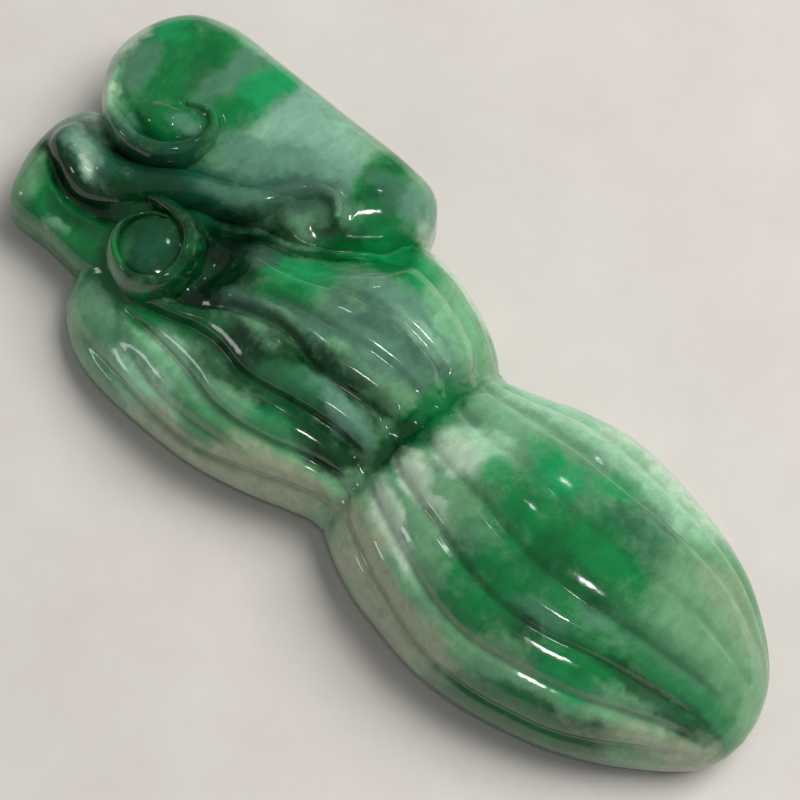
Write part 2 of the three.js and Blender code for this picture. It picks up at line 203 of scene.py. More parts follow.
def line_object(name: str, lines: list[np.ndarray], **marks: list[np.ndarray]) -> Object:
    """Makes an object of bare edges that Geometry Nodes read, with a value at each point.

    Args:
        name: the object's name.
        lines: each line's points in millimetres.
        **marks: for each attribute, a list with one array for each line.

    Returns:
        The object. Where its lines only shape another piece, it is deleted once that piece is done.
    """
    edges = []
    first = 0
    for line in lines:
        edges += [(first + step, first + step + 1) for step in range(len(line) - 1)]
        first += len(line)
    mesh = bpy.data.meshes.new(name)
    mesh.from_pydata((np.vstack(lines) * MM).tolist(), edges, [])
    for mark, values in marks.items():
        joined = np.concatenate(values)
        vector = joined.ndim == 2
        layer = mesh.attributes.new(mark, "FLOAT_VECTOR" if vector else "FLOAT", "POINT")
        layer.data.foreach_set("vector" if vector else "value", joined.ravel())
    return new_object(name, mesh)


# Node trees


def add_node(tree: NodeTree, kind: str, inputs: dict | None = None, **settings: object) -> Node:
    """Adds one node with its settings, values and links.

    Args:
        tree: the tree that takes the node.
        kind: the node's type.
        inputs: for each input, by name or number, a value, a socket, or a node, which
            stands for its first output.
        **settings: the node's own properties.

    Returns:
        The node.
    """
    node = tree.nodes.new(kind)
    for setting, value in settings.items():
        setattr(node, setting, value)
    for key, value in (inputs or {}).items():
        if isinstance(value, Node):
            value = value.outputs[0]
        if isinstance(value, NodeSocket):
            tree.links.new(value, node.inputs[key])
        else:
            node.inputs[key].default_value = value
    return node


def new_tree(name: str, sockets: dict[str, str]) -> tuple[NodeTree, Node]:
    """Starts a Geometry Nodes tree with named inputs.

    Args:
        name: the tree's name.
        sockets: the name and type of each input between the geometry and the material.

    Returns:
        The tree and its input node.
    """
    tree = bpy.data.node_groups.new(name, "GeometryNodeTree")
    for socket, kind in {"Geometry": "Geometry", **sockets, "Material": "Material"}.items():
        tree.interface.new_socket(socket, in_out="INPUT", socket_type=f"NodeSocket{kind}")
    tree.interface.new_socket("Geometry", in_out="OUTPUT", socket_type="NodeSocketGeometry")
    return tree, add_node(tree, "NodeGroupInput")


def close_tree(tree: NodeTree, geometry: Node, given: Node) -> None:
    """Ends a tree: instances are realised, and the piece gets its material.

    Args:
        tree: the tree.
        geometry: the node that gives the finished geometry.
        given: the tree's input node.
    """
    real = add_node(tree, "GeometryNodeRealizeInstances", {0: geometry})
    smooth = add_node(tree, "GeometryNodeSetShadeSmooth", {0: real})
    worn = {0: smooth, "Material": given.outputs["Material"]}
    dressed = add_node(tree, "GeometryNodeSetMaterial", worn)
    add_node(tree, "NodeGroupOutput", {0: dressed})


def rod_tree() -> NodeTree:
    """Builds the tree that sweeps a rod of changing width and height along a line.

    The line's points carry their own place, the rod's side, and its half width and half
    height there. The profile is a circle, stretched to those at each point.

    Returns:
        The tree.
    """
    tree, given = new_tree("sweep_carved_rod", {"Sides": "Int"})
    add = partial(add_node, tree)
    curve = add("GeometryNodeMeshToCurve", {0: given})
    circle = add("GeometryNodeCurvePrimitiveCircle", {"Resolution": given.outputs["Sides"], "Radius": 1.0})
    corner = {0: circle, "Name": "turn", "Value": add("GeometryNodeInputPosition")}
    rim = add("GeometryNodeStoreNamedAttribute", corner, data_type="FLOAT_VECTOR", domain="POINT")
    tube = add("GeometryNodeCurveToMesh", {0: curve, 1: rim, "Fill Caps": True})
    read = {
        mark: add("GeometryNodeInputNamedAttribute", {"Name": mark}, data_type=kind)
        for mark, kind in ROD_MARKS.items()
    }
    turn = add("ShaderNodeSeparateXYZ", {0: read["turn"]})
    upright, slope, rise = (
        add("ShaderNodeMath", {0: turn.outputs[axis], 1: read[mark]}, operation="MULTIPLY")
        for axis, mark in ((0, "half_width"), (1, "lean"), (1, "half_height"))
    )
    across = add("ShaderNodeMath", {0: upright, 1: slope}, operation="ADD")
    aside = add("ShaderNodeVectorMath", {0: read["side"], "Scale": across}, operation="SCALE")
    above = add("ShaderNodeCombineXYZ", {2: rise})
    level = add("ShaderNodeVectorMath", {0: read["spot"], 1: aside}, operation="ADD")
    place = add("ShaderNodeVectorMath", {0: level, 1: above}, operation="ADD")
    shaped = add("GeometryNodeSetPosition", {0: tube, 2: place})
    welded = add("GeometryNodeMergeByDistance", {0: shaped, "Distance": 1e-7})
    close_tree(tree, welded, given)
    return tree


CREASE_DEPTH = 1.2
# Depth in millimetres of a cut whose bottom gets the full painted crease shade.
"""Depth in millimetres of a cut whose bottom is as dark as a crease gets."""


def carve_tree() -> NodeTree:
    """Builds the tree that cuts grooves, or leaves ridges, along lines near a surface.

    Each line's points carry the depth and the reach of the cut. A cut is deepest on its
    line and fades to nothing at its reach, so two neighbours leave a round rib between
    them. A share of the depth can go into a narrower furrow along the line. A negative
    depth leaves a ridge. An attribute marks where a crease's bottom is, and the shader
    darkens the colour there: painted shade.

    Returns:
        The tree.
    """
    sizes = ("Bottom Radius", "Steepness", "Furrow Share", "Furrow Reach")
    tree, given = new_tree("carve_along_lines", {"Lines": "Object", **dict.fromkeys(sizes, "Float")})
    add = partial(add_node, tree)
    drawn = add("GeometryNodeObjectInfo", {"Object": given.outputs["Lines"]}, transform_space="RELATIVE")
    lines = drawn.outputs["Geometry"]
    near = add("GeometryNodeProximity", {"Geometry": lines}, target_element="EDGES")
    which = add("GeometryNodeSampleNearest", {0: lines, 1: near.outputs["Position"]})
    marks = []
    for mark in ("depth", "reach"):
        value = add("GeometryNodeInputNamedAttribute", {"Name": mark}, data_type="FLOAT")
        marks.append(add("GeometryNodeSampleIndex", {"Geometry": lines, "Value": value, "Index": which}))
    depth, reach = marks
    away, bottom = (
        add("ShaderNodeMath", {0: length, 1: 2.0}, operation="POWER")
        for length in (near.outputs["Distance"], given.outputs["Bottom Radius"])
    )
    summed = add("ShaderNodeMath", {0: away, 1: bottom}, operation="ADD")
    distance = add("ShaderNodeMath", {0: summed}, operation="SQRT")
    fades = []
    for limit in (reach, given.outputs["Furrow Reach"]):
        share = add("ShaderNodeMath", {0: distance, 1: limit}, operation="DIVIDE")
        left = add("ShaderNodeMath", {0: 1.0, 1: share}, operation="SUBTRACT", use_clamp=True)
        fades.append(add("ShaderNodeMath", {0: left, 1: given.outputs["Steepness"]}, operation="POWER"))
    broad, narrow = fades
    fade = add(
        "ShaderNodeMix", {0: given.outputs["Furrow Share"], 2: broad, 3: narrow}, data_type="FLOAT"
    )
    cut = add("ShaderNodeMath", {0: fade, 1: depth}, operation="MULTIPLY")
    inward = add("ShaderNodeMath", {0: cut, 1: -1.0}, operation="MULTIPLY")
    normal = add("GeometryNodeInputNormal")
    offset = add("ShaderNodeVectorMath", {0: normal, "Scale": inward}, operation="SCALE")
    before = add("GeometryNodeInputNamedAttribute", {"Name": "hollow"}, data_type="FLOAT")
    # how strongly the painted shade darkens this crease's bottom
    dark = add("ShaderNodeMath", {0: depth, 1: CREASE_DEPTH * MM}, operation="DIVIDE", use_clamp=True)
    here = add("ShaderNodeMath", {0: narrow, 1: dark}, operation="MULTIPLY")
    deepest = add("ShaderNodeMath", {0: before, 1: here}, operation="MAXIMUM")
    hollow = {0: given, "Name": "hollow", "Value": deepest}
    marked = add("GeometryNodeStoreNamedAttribute", hollow, data_type="FLOAT", domain="POINT")
    carved = add("GeometryNodeSetPosition", {0: marked, "Offset": offset})
    close_tree(tree, carved, given)
    return tree


RAY_START = 30.0
"""Height in millimetres from which the rays look down at the forms, well above them."""

RAY_LENGTH = 40.0
"""How far down in millimetres they look, to below the table."""

BED_SMOOTHING = 10
"""Rounds of smoothing that take the edge off a bed."""


def drape_tree() -> NodeTree:
    """Builds the tree that lets a surface run softly up the forms that stand on it.

    A ray from above finds each form's height over each point. The surface takes the
    smooth maximum of its own height and the form's, just under the form's skin, and drops
    back inside the form once it has climbed far enough to be hidden.

    Returns:
        The tree.
    """
    sizes = ("Blend", "Skin", "Climb")
    tree, given = new_tree("drape_over_forms", {"Forms": "Collection", **dict.fromkeys(sizes, "Float")})
    add = partial(add_node, tree)
    group = {"Collection": given.outputs["Forms"]}
    forms = add("GeometryNodeCollectionInfo", group, transform_space="RELATIVE")
    real = add("GeometryNodeRealizeInstances", {0: forms})
    own = add("ShaderNodeSeparateXYZ", {0: add("GeometryNodeInputPosition")})
    above = add("ShaderNodeCombineXYZ", {0: own.outputs[0], 1: own.outputs[1], 2: RAY_START * MM})
    ray = add(
        "GeometryNodeRaycast",
        {
            "Target Geometry": real,
            "Source Position": above,
            "Ray Direction": (0.0, 0.0, -1.0),
            "Ray Length": RAY_LENGTH * MM,
        },
    )
    top = add("ShaderNodeSeparateXYZ", {0: ray.outputs["Hit Position"]})
    under = add("ShaderNodeMath", {0: top.outputs[2], 1: given.outputs["Skin"]}, operation="SUBTRACT")
    choice = {"Switch": ray.outputs["Is Hit"], "False": -1.0, "True": under}
    found = add("GeometryNodeSwitch", choice, input_type="FLOAT")
    heights = {0: own.outputs[2], 1: found, 2: given.outputs["Blend"]}
    blended = add("ShaderNodeMath", heights, operation="SMOOTH_MAX")
    lift = add("ShaderNodeMath", {0: blended, 1: own.outputs[2]}, operation="SUBTRACT")
    climbed = add("ShaderNodeMath", {0: lift, 1: given.outputs["Climb"]}, operation="DIVIDE")
    hidden = {"Value": climbed, "From Min": 1.0, "From Max": 2.0, "To Min": 1.0, "To Max": 0.0}
    near = add("ShaderNodeMapRange", hidden, interpolation_type="SMOOTHSTEP")
    facing = add("ShaderNodeSeparateXYZ", {0: add("GeometryNodeInputNormal")})
    upward = add("ShaderNodeMapRange", {"Value": facing.outputs[2], "From Min": 0.0, "From Max": 0.2})
    share = add("ShaderNodeMath", {0: near, 1: upward}, operation="MULTIPLY")
    rise = add("ShaderNodeMath", {0: lift, 1: share}, operation="MULTIPLY")
    blurred = {"Value": rise, "Iterations": BED_SMOOTHING}
    soft = add("GeometryNodeBlurAttribute", blurred, data_type="FLOAT")
    offset = add("ShaderNodeCombineXYZ", {2: soft})
    raised = add("GeometryNodeSetPosition", {0: given, "Offset": offset})
    close_tree(tree, raised, given)
    return tree


def shape_with(piece: Object, tree: NodeTree, material: Material, **values: object) -> None:
    """Gives a piece a Geometry Nodes modifier, with its inputs set by identifier.

    Args:
        piece: the object to shape.
        tree: one of the trees above.
        material: the piece's material.
        **values: the tree's other inputs by name, with underscores for spaces.
    """
    modifier = piece.modifiers.new(tree.name, "NODES")
    modifier.node_group = tree
    values["Material"] = material
    for socket in tree.interface.items_tree:
        key = socket.name.replace(" ", "_")
        if socket.in_out == "INPUT" and key in values:
            modifier[socket.identifier] = values[key]


def settle(piece: Object) -> None:
    """Turns what a piece's modifiers make of it into its plain mesh.

    Args:
        piece: the piece.
    """
    depsgraph = bpy.context.evaluated_depsgraph_get()
    shaped = bpy.data.meshes.new_from_object(
        piece.evaluated_get(depsgraph), preserve_all_data_layers=True, depsgraph=depsgraph
    )
    piece.modifiers.clear()
    bare = piece.data
    piece.data = shaped
    shaped.name = piece.name
    bpy.data.meshes.remove(bare)
    for name in [layer.name for layer in shaped.attributes if layer.name in ROD_MARKS]:
        shaped.attributes.remove(shaped.attributes[name])


# Jade


def linear(hex_colour: str) -> tuple[float, float, float, float]:
    """Turns an sRGB hex colour into the linear one that Blender's sockets take."""
    channels = [int(hex_colour[at : at + 2], 16) / 255 for at in (1, 3, 5)]
    return (*[c / 12.92 if c <= 0.04045 else ((c + 0.055) / 1.055) ** 2.4 for c in channels], 1.0)


def bare_material(name: str) -> tuple[Material, Adder]:
    """Starts a material, and gives it with the function that adds a node to its tree.

    Args:
        name: the material's name.

    Returns:
        The material and the function.
    """
    material = bpy.data.materials.new(name)
    material.use_nodes = True
    material.node_tree.nodes.clear()
    return material, partial(add_node, material.node_tree)


class Tint(Enum):
    """Colours that run through this stone, from its green veins to its pale ground, and the near-black and
    shade tints that are painted shade in recesses and creases.
    """

    EMERALD = "#08743a"
    BRIGHT = "#159255"
    DEEP = "#043b18"
    # painted shade, laid into the deepest recesses and creases
    BLACK = "#02150a"
    # painted shade, laid into creases between forms and along deep grooves
    SHADE = "#0d2f1d"
    TEAL = "#17533c"
    MOSS = "#2f7449"
    SLATE = "#436857"
    GREY = "#5b8a74"
    MIST = "#80ae9a"
    SAGE = "#679870"
    MINT = "#76ae86"
    PALE = "#97c8a6"
    FROST = "#b2cdb4"
    OLIVE = "#99a68a"


# How often each pattern repeats in a metre, from its size in the stone: swirls of 5 mm
# and ripples of 0.9 mm that bend the patches, clouds of 4.8 mm in the ground, torn edges
# of 1.25 mm, fibres of 0.9 mm, drawn as coarse as they need to be to show, and the waves
# of 1.6 mm that the polishing leaves
SWIRLS = 200.0
RIPPLES = 1100.0
HAZE = 210.0
FRINGES = 800.0
FIBRES = 1100.0
WAVES = 620.0

# Patches, in millimetres: how far past a piece one still counts, how high its middle
# lies, its half height, and how much its egg is enlarged so that its soft edge falls on
# its half sizes. The last two are the fades at which it starts and is full.
PATCH_MARGIN = 1.0
PATCH_MIDDLE = 4.0
PATCH_HEIGHT = 16.0
PATCH_GROWTH = 1.2
PATCH_STARTS = 0.03
PATCH_IS_FULL = 0.6


@dataclass(frozen=True)
class Cloud:
    """A patch of one tint, an upright egg shape with a soft edge: most are the stone's own colour, some are
    painted shade or painted highlights.

    Attributes:
        tint: its colour.
        x: middle along the pod.
        y: middle across the pod.
        long: its longer half size.
        short: its shorter half size.
        turn: degrees from +X to the longer half size.
        strength: how fully it covers what lies under it.
    """

    tint: Tint
    x: float
    y: float
    long: float
    short: float
    turn: float = 0.0
    strength: float = 0.9

    def touches(self, region: tuple[float, float, float, float]) -> bool:
        """Tells whether the patch reaches a region, given as low x, low y, high x, high y."""
        reach = max(self.long, self.short) + PATCH_MARGIN
        low_x, low_y, high_x, high_y = region
        return low_x - reach < self.x < high_x + reach and low_y - reach < self.y < high_y + reach


CLOUDS = (
    # ruyi head: grey ground with upright emerald bands
    Cloud(Tint.MIST, -16.0, 8.0, 5.5, 4.6),
    Cloud(Tint.GREY, -14.8, 6.4, 4.4, 2.2, 24),
    Cloud(Tint.TEAL, -15.2, 4.6, 5.4, 1.7, 25, 0.8),
    Cloud(Tint.PALE, -18.2, 7.0, 1.4, 1.1, 90, 0.5),
    Cloud(Tint.GREY, -17.6, 5.2, 2.6, 1.5, 20),
    Cloud(Tint.PALE, -13.4, 10.6, 2.4, 1.2, 0, 0.4),
    Cloud(Tint.MOSS, -24.0, 7.6, 6.0, 5.0, 0, 1.0),
    Cloud(Tint.GREY, -22.3, 9.0, 4.0, 1.2, 90, 0.6),
    Cloud(Tint.EMERALD, -26.4, 8.6, 3.2, 2.3, 20, 1.0),
    Cloud(Tint.BRIGHT, -27.0, 8.4, 1.6, 1.2, 20, 0.7),
    Cloud(Tint.EMERALD, -24.2, 9.6, 2.8, 1.6, 90, 1.0),
    Cloud(Tint.DEEP, -23.8, 8.2, 2.4, 0.9, 100, 0.4),
    Cloud(Tint.BRIGHT, -20.0, 9.2, 3.4, 1.6, 90, 1.0),
    Cloud(Tint.EMERALD, -20.8, 6.6, 1.8, 1.2, 30),
    Cloud(Tint.EMERALD, -25.2, 5.2, 3.0, 2.2, 100),
    Cloud(Tint.GREY, -26.9, 5.6, 2.2, 1.0, 110, 0.6),
    Cloud(Tint.FROST, -29.2, 6.4, 3.6, 1.2, 92),
    Cloud(Tint.FROST, -27.4, 2.6, 2.8, 1.3, -55, 1.0),
    Cloud(Tint.FROST, -28.2, 11.2, 2.2, 1.0, 45, 0.8),
    Cloud(Tint.BRIGHT, -27.6, 9.4, 1.8, 1.0, 60, 0.8),
    Cloud(Tint.MINT, -21.5, 12.1, 7.0, 1.0, 0, 0.8),
    Cloud(Tint.EMERALD, -10.2, 9.8, 3.6, 1.7, 90, 1.0),
    Cloud(Tint.DEEP, -10.2, 9.4, 2.4, 0.9, 90, 0.45),
    Cloud(Tint.TEAL, -8.6, 8.6, 2.2, 1.4, 90, 0.8),
    Cloud(Tint.GREY, -7.2, 10.2, 1.8, 1.4, 90),
    Cloud(Tint.EMERALD, -7.4, 6.8, 3.8, 2.3, 40, 1.0),
    Cloud(Tint.DEEP, -8.4, 5.7, 3.2, 1.2, 38, 0.6),
    Cloud(Tint.GREY, -9.9, 9.7, 1.8, 1.0, 20, 0.35),
    # scroll and hook
    Cloud(Tint.EMERALD, -22.8, 3.2, 4.0, 2.8, 15, 1.0),
    Cloud(Tint.DEEP, -20.9, 3.0, 2.6, 1.3, 80),
    # painted shade in the crease under the scroll
    Cloud(Tint.DEEP, -22.6, 1.6, 3.6, 0.9, 10),
    Cloud(Tint.GREY, -24.8, 1.9, 1.6, 0.8, -22, 0.8),
    Cloud(Tint.GREY, -22.0, 4.3, 1.1, 0.8, 10, 0.7),
    Cloud(Tint.SLATE, -12.8, 5.8, 2.6, 1.7, 40, 1.0),
    Cloud(Tint.SAGE, -11.4, 5.2, 1.2, 0.8, 0, 0.7),
    Cloud(Tint.DEEP, -10.2, 4.6, 1.8, 0.8, 30, 0.8),
    # vine, from its grey leaf to the hook
    Cloud(Tint.TEAL, -20.0, 0.4, 8.0, 3.0, 20, 1.0),
    # painted shade in the crease between the vine and the scroll
    Cloud(Tint.SHADE, -22.0, 0.4, 3.2, 1.2, 5, 0.8),
    Cloud(Tint.SLATE, -27.4, -0.4, 3.0, 2.4, -10, 1.0),
    Cloud(Tint.GREY, -28.4, 1.2, 1.6, 1.4, 60),
    # a painted highlight on the leaf's facet
    Cloud(Tint.MIST, -24.9, -1.6, 2.9, 0.9, -27, 0.7),
    Cloud(Tint.FROST, -24.1, -2.1, 1.8, 0.5, -34, 0.8),
    # a painted sheen along the vine's crest
    Cloud(Tint.GREY, -16.4, 2.8, 3.2, 0.7, 28, 0.6),
    Cloud(Tint.SLATE, -13.4, 4.6, 2.6, 1.3, 40, 0.7),
    # coil and bud
    Cloud(Tint.DEEP, -17.0, -3.6, 5.4, 5.0, 0, 1.0),
    Cloud(Tint.TEAL, -17.8, -3.4, 2.2, 2.0, 0, 0.8),
    Cloud(Tint.EMERALD, -15.0, -2.4, 2.8, 1.1, 95, 0.9),
    Cloud(Tint.MOSS, -19.3, -5.0, 2.2, 0.9, 110, 0.8),
    # stalk, with painted shade in the recess beside the leaf
    Cloud(Tint.EMERALD, -25.6, -4.6, 5.2, 2.6, -6, 1.0),
    Cloud(Tint.SAGE, -28.4, -4.6, 2.2, 2.0, 90),
    Cloud(Tint.DEEP, -23.0, -4.6, 3.4, 1.4, -4, 0.6),
    # painted shade: deep and near-black patches in the recess beside the leaf and under the coil
    Cloud(Tint.DEEP, -24.6, -3.0, 5.2, 1.2, -10, 1.0),
    Cloud(Tint.DEEP, -20.8, -2.4, 3.4, 3.0, 20, 1.0),
    Cloud(Tint.BLACK, -24.4, -3.2, 3.8, 0.5, -12, 0.7),
    Cloud(Tint.EMERALD, -20.4, -6.6, 3.4, 2.2, -20),
    # a painted highlight on the stalk
    Cloud(Tint.MINT, -24.3, -5.7, 1.2, 0.6, -5, 0.6),
    # upper lobe: painted shade in the recess beside the coil and along its deep grooves, then grey ribs
    # painted shade: deep and near-black patches in the valley beside the coil
    Cloud(Tint.DEEP, -12.6, -1.4, 6.0, 4.4, 80, 1.0),
    Cloud(Tint.BLACK, -14.2, 0.4, 2.8, 2.2, 30),
    Cloud(Tint.BLACK, -12.9, -3.8, 2.8, 1.6, 100, 0.8),
    Cloud(Tint.SLATE, -12.0, 0.6, 1.8, 1.3, 20, 0.7),
    Cloud(Tint.BRIGHT, -8.8, 1.2, 3.0, 2.4, 8, 1.0),
    Cloud(Tint.EMERALD, -8.4, -0.6, 2.6, 1.2, 8),
    Cloud(Tint.EMERALD, -8.4, 4.2, 3.6, 1.5, 30, 1.0),
    Cloud(Tint.DEEP, -9.6, 3.4, 2.8, 0.8, 28, 0.8),
    Cloud(Tint.BRIGHT, -5.0, 6.0, 3.6, 2.2, -8, 1.0),
    Cloud(Tint.EMERALD, -5.4, 5.4, 2.4, 1.2, -8),
    Cloud(Tint.FROST, -2.4, 8.8, 5.0, 1.1, -14),
    Cloud(Tint.SLATE, -2.6, 1.6, 5.6, 3.6, 4, 1.0),
    Cloud(Tint.GREY, -2.4, 3.6, 4.6, 1.7, 4, 1.0),
    Cloud(Tint.PALE, -1.2, 2.9, 2.4, 1.0, 0, 0.6),
    Cloud(Tint.MINT, -0.4, 5.4, 3.0, 1.6, -20),
    Cloud(Tint.GREY, -2.0, 0.6, 3.2, 0.9, 6, 0.8),
    Cloud(Tint.SLATE, -6.4, -0.9, 3.4, 0.8, 12),
    Cloud(Tint.SLATE, -10.2, -2.5, 2.8, 0.8, 10),
    Cloud(Tint.DEEP, -3.4, -4.0, 6.4, 3.2, 6, 1.0),
    # painted shade along the deep grooves
    Cloud(Tint.BLACK, -1.6, -1.8, 4.2, 0.8, 6, 0.35),
    Cloud(Tint.SHADE, -6.4, -2.4, 4.0, 1.0, 8, 0.6),
    Cloud(Tint.GREY, -1.6, -3.8, 3.2, 1.0, 5, 1.0),
    Cloud(Tint.DEEP, -8.2, -4.8, 3.8, 1.2, 6),
    # painted shade along a deep groove
    Cloud(Tint.BLACK, -9.2, -4.3, 3.0, 0.8, 6, 0.6),
    Cloud(Tint.DEEP, -3.0, -5.6, 5.0, 1.2, 6, 1.0),
    Cloud(Tint.DEEP, -8.4, -6.3, 4.6, 1.3, 2, 0.8),
    Cloud(Tint.MOSS, -4.6, -4.9, 3.2, 1.2, 8),
    Cloud(Tint.EMERALD, -11.9, -5.3, 2.6, 1.0, 16, 0.6),
    Cloud(Tint.PALE, -16.1, -9.2, 2.4, 1.2, -20, 0.8),
    Cloud(Tint.BRIGHT, -3.6, -7.1, 2.8, 1.3, 10, 0.6),
    Cloud(Tint.DEEP, -0.2, -6.0, 2.8, 1.5, 8, 1.0),
    Cloud(Tint.MOSS, -14.0, -8.4, 6.5, 2.6, -6, 0.7),
    Cloud(Tint.MINT, -13.0, -7.9, 4.2, 1.1, -6),
    Cloud(Tint.PALE, -12.2, -7.6, 2.8, 0.6, -8, 0.7),
    Cloud(Tint.PALE, -12.0, -9.8, 5.4, 1.2, -4),
    Cloud(Tint.PALE, -19.0, -8.4, 2.0, 1.2, -30, 0.6),
    Cloud(Tint.MINT, -18.4, -8.2, 2.2, 1.2, -34),
    Cloud(Tint.EMERALD, -16.4, -9.4, 3.0, 1.0, -14, 0.35),
    Cloud(Tint.EMERALD, -15.6, -6.7, 2.4, 1.0),
    Cloud(Tint.OLIVE, -8.0, -10.6, 5.4, 1.2),
    Cloud(Tint.EMERALD, -6.8, -9.2, 2.6, 1.1, 8, 0.6),
    Cloud(Tint.OLIVE, -2.4, -9.2, 4.6, 1.4, 14, 1.0),
    # waist and the pale end of the lower lobe
    Cloud(Tint.EMERALD, 2.8, -0.8, 5.2, 1.8, 92, 1.0),
    Cloud(Tint.DEEP, 2.6, -3.0, 2.8, 1.4, 90),
    Cloud(Tint.SAGE, 3.2, 4.8, 1.8, 1.6, 0, 0.7),
    Cloud(Tint.PALE, 8.0, 5.2, 5.0, 1.8, 4, 1.0),
    Cloud(Tint.MINT, 7.0, 2.6, 3.6, 1.7, -4, 1.0),
    Cloud(Tint.PALE, 6.8, -0.6, 2.8, 2.0, -6, 1.0),
    Cloud(Tint.FROST, 6.2, -1.9, 2.6, 1.5, -6, 1.0),
    Cloud(Tint.FROST, 4.6, -4.2, 2.0, 1.3, -20, 1.0),
    Cloud(Tint.FROST, 4.8, -7.4, 2.4, 1.3, -40, 1.0),
    Cloud(Tint.SAGE, 8.8, -3.8, 3.0, 1.2, -4),
    Cloud(Tint.FROST, 6.4, -5.2, 3.4, 0.7, -14),
    Cloud(Tint.SAGE, 8.0, -6.4, 4.0, 0.8, -16, 0.8),
    Cloud(Tint.FROST, 6.6, -7.8, 3.6, 0.8, -26),
    Cloud(Tint.OLIVE, 6.0, -9.8, 5.0, 1.4, -24, 1.0),
    Cloud(Tint.OLIVE, 11.0, -11.4, 4.4, 1.4, -6),
    Cloud(Tint.PALE, 14.0, 5.6, 8.5, 1.9, -5, 0.8),
    Cloud(Tint.FROST, 15.0, 7.2, 10.0, 1.4, -5),
    # emerald heart of the lower lobe
    Cloud(Tint.MOSS, 15.6, -3.0, 8.4, 7.2, -8, 1.0),
    Cloud(Tint.EMERALD, 15.4, -3.4, 6.6, 5.4, -8, 0.7),
    Cloud(Tint.BRIGHT, 11.1, 1.3, 2.8, 1.7, 0, 1.0),
    Cloud(Tint.BRIGHT, 8.9, -1.4, 1.8, 1.4, 0, 0.7),
    Cloud(Tint.BRIGHT, 14.6, 2.8, 2.4, 1.5, 10, 0.8),
    Cloud(Tint.EMERALD, 13.6, -1.8, 5.4, 3.0, 0, 1.0),
    Cloud(Tint.EMERALD, 17.8, -0.8, 3.6, 2.4, 0, 1.0),
    Cloud(Tint.TEAL, 17.6, 1.7, 3.2, 1.1, 6, 0.6),
    Cloud(Tint.SLATE, 17.8, 3.3, 3.0, 0.7, 6, 0.6),
    Cloud(Tint.DEEP, 14.3, -3.0, 3.0, 2.2, 90, 0.4),
    Cloud(Tint.DEEP, 15.6, -7.2, 2.6, 1.2, 0, 0.8),
    Cloud(Tint.DEEP, 17.2, -3.4, 3.4, 1.0, 4, 0.5),
    Cloud(Tint.EMERALD, 13.0, -6.6, 3.6, 2.4, 0, 1.0),
    Cloud(Tint.EMERALD, 12.8, -8.6, 2.6, 1.2),
    Cloud(Tint.GREY, 17.0, -6.2, 3.2, 0.8, 6, 0.5),
    Cloud(Tint.GREY, 19.2, -4.4, 1.6, 0.8, 0, 0.6),
    Cloud(Tint.EMERALD, 20.6, -6.4, 3.8, 1.8, 20, 1.0),
    Cloud(Tint.BRIGHT, 20.2, -8.0, 2.0, 0.9, 22, 0.8),
    Cloud(Tint.SAGE, 16.0, -9.3, 2.8, 0.8, 8, 0.8),
    # sage tip and its dark lower edge
    Cloud(Tint.SAGE, 24.4, 1.6, 5.4, 4.2, -16, 1.0),
    Cloud(Tint.OLIVE, 24.5, 2.6, 3.6, 2.0, -16, 0.4),
    Cloud(Tint.MOSS, 24.6, -3.2, 5.4, 2.6, 4, 0.7),
    Cloud(Tint.SAGE, 27.4, -1.6, 3.0, 2.2, 0, 0.6),
    Cloud(Tint.EMERALD, 25.4, -3.6, 4.2, 1.0, 12, 0.6),
    # painted shade along the groove near the tip
    Cloud(Tint.DEEP, 24.6, -5.0, 5.0, 0.8, 16, 0.7),
    Cloud(Tint.DEEP, 19.0, -10.6, 7.4, 1.2, 20, 0.8),
    Cloud(Tint.EMERALD, 17.6, -10.9, 5.4, 0.9, 16, 0.6),
    Cloud(Tint.OLIVE, 26.8, -6.2, 3.8, 1.2, 38),
)


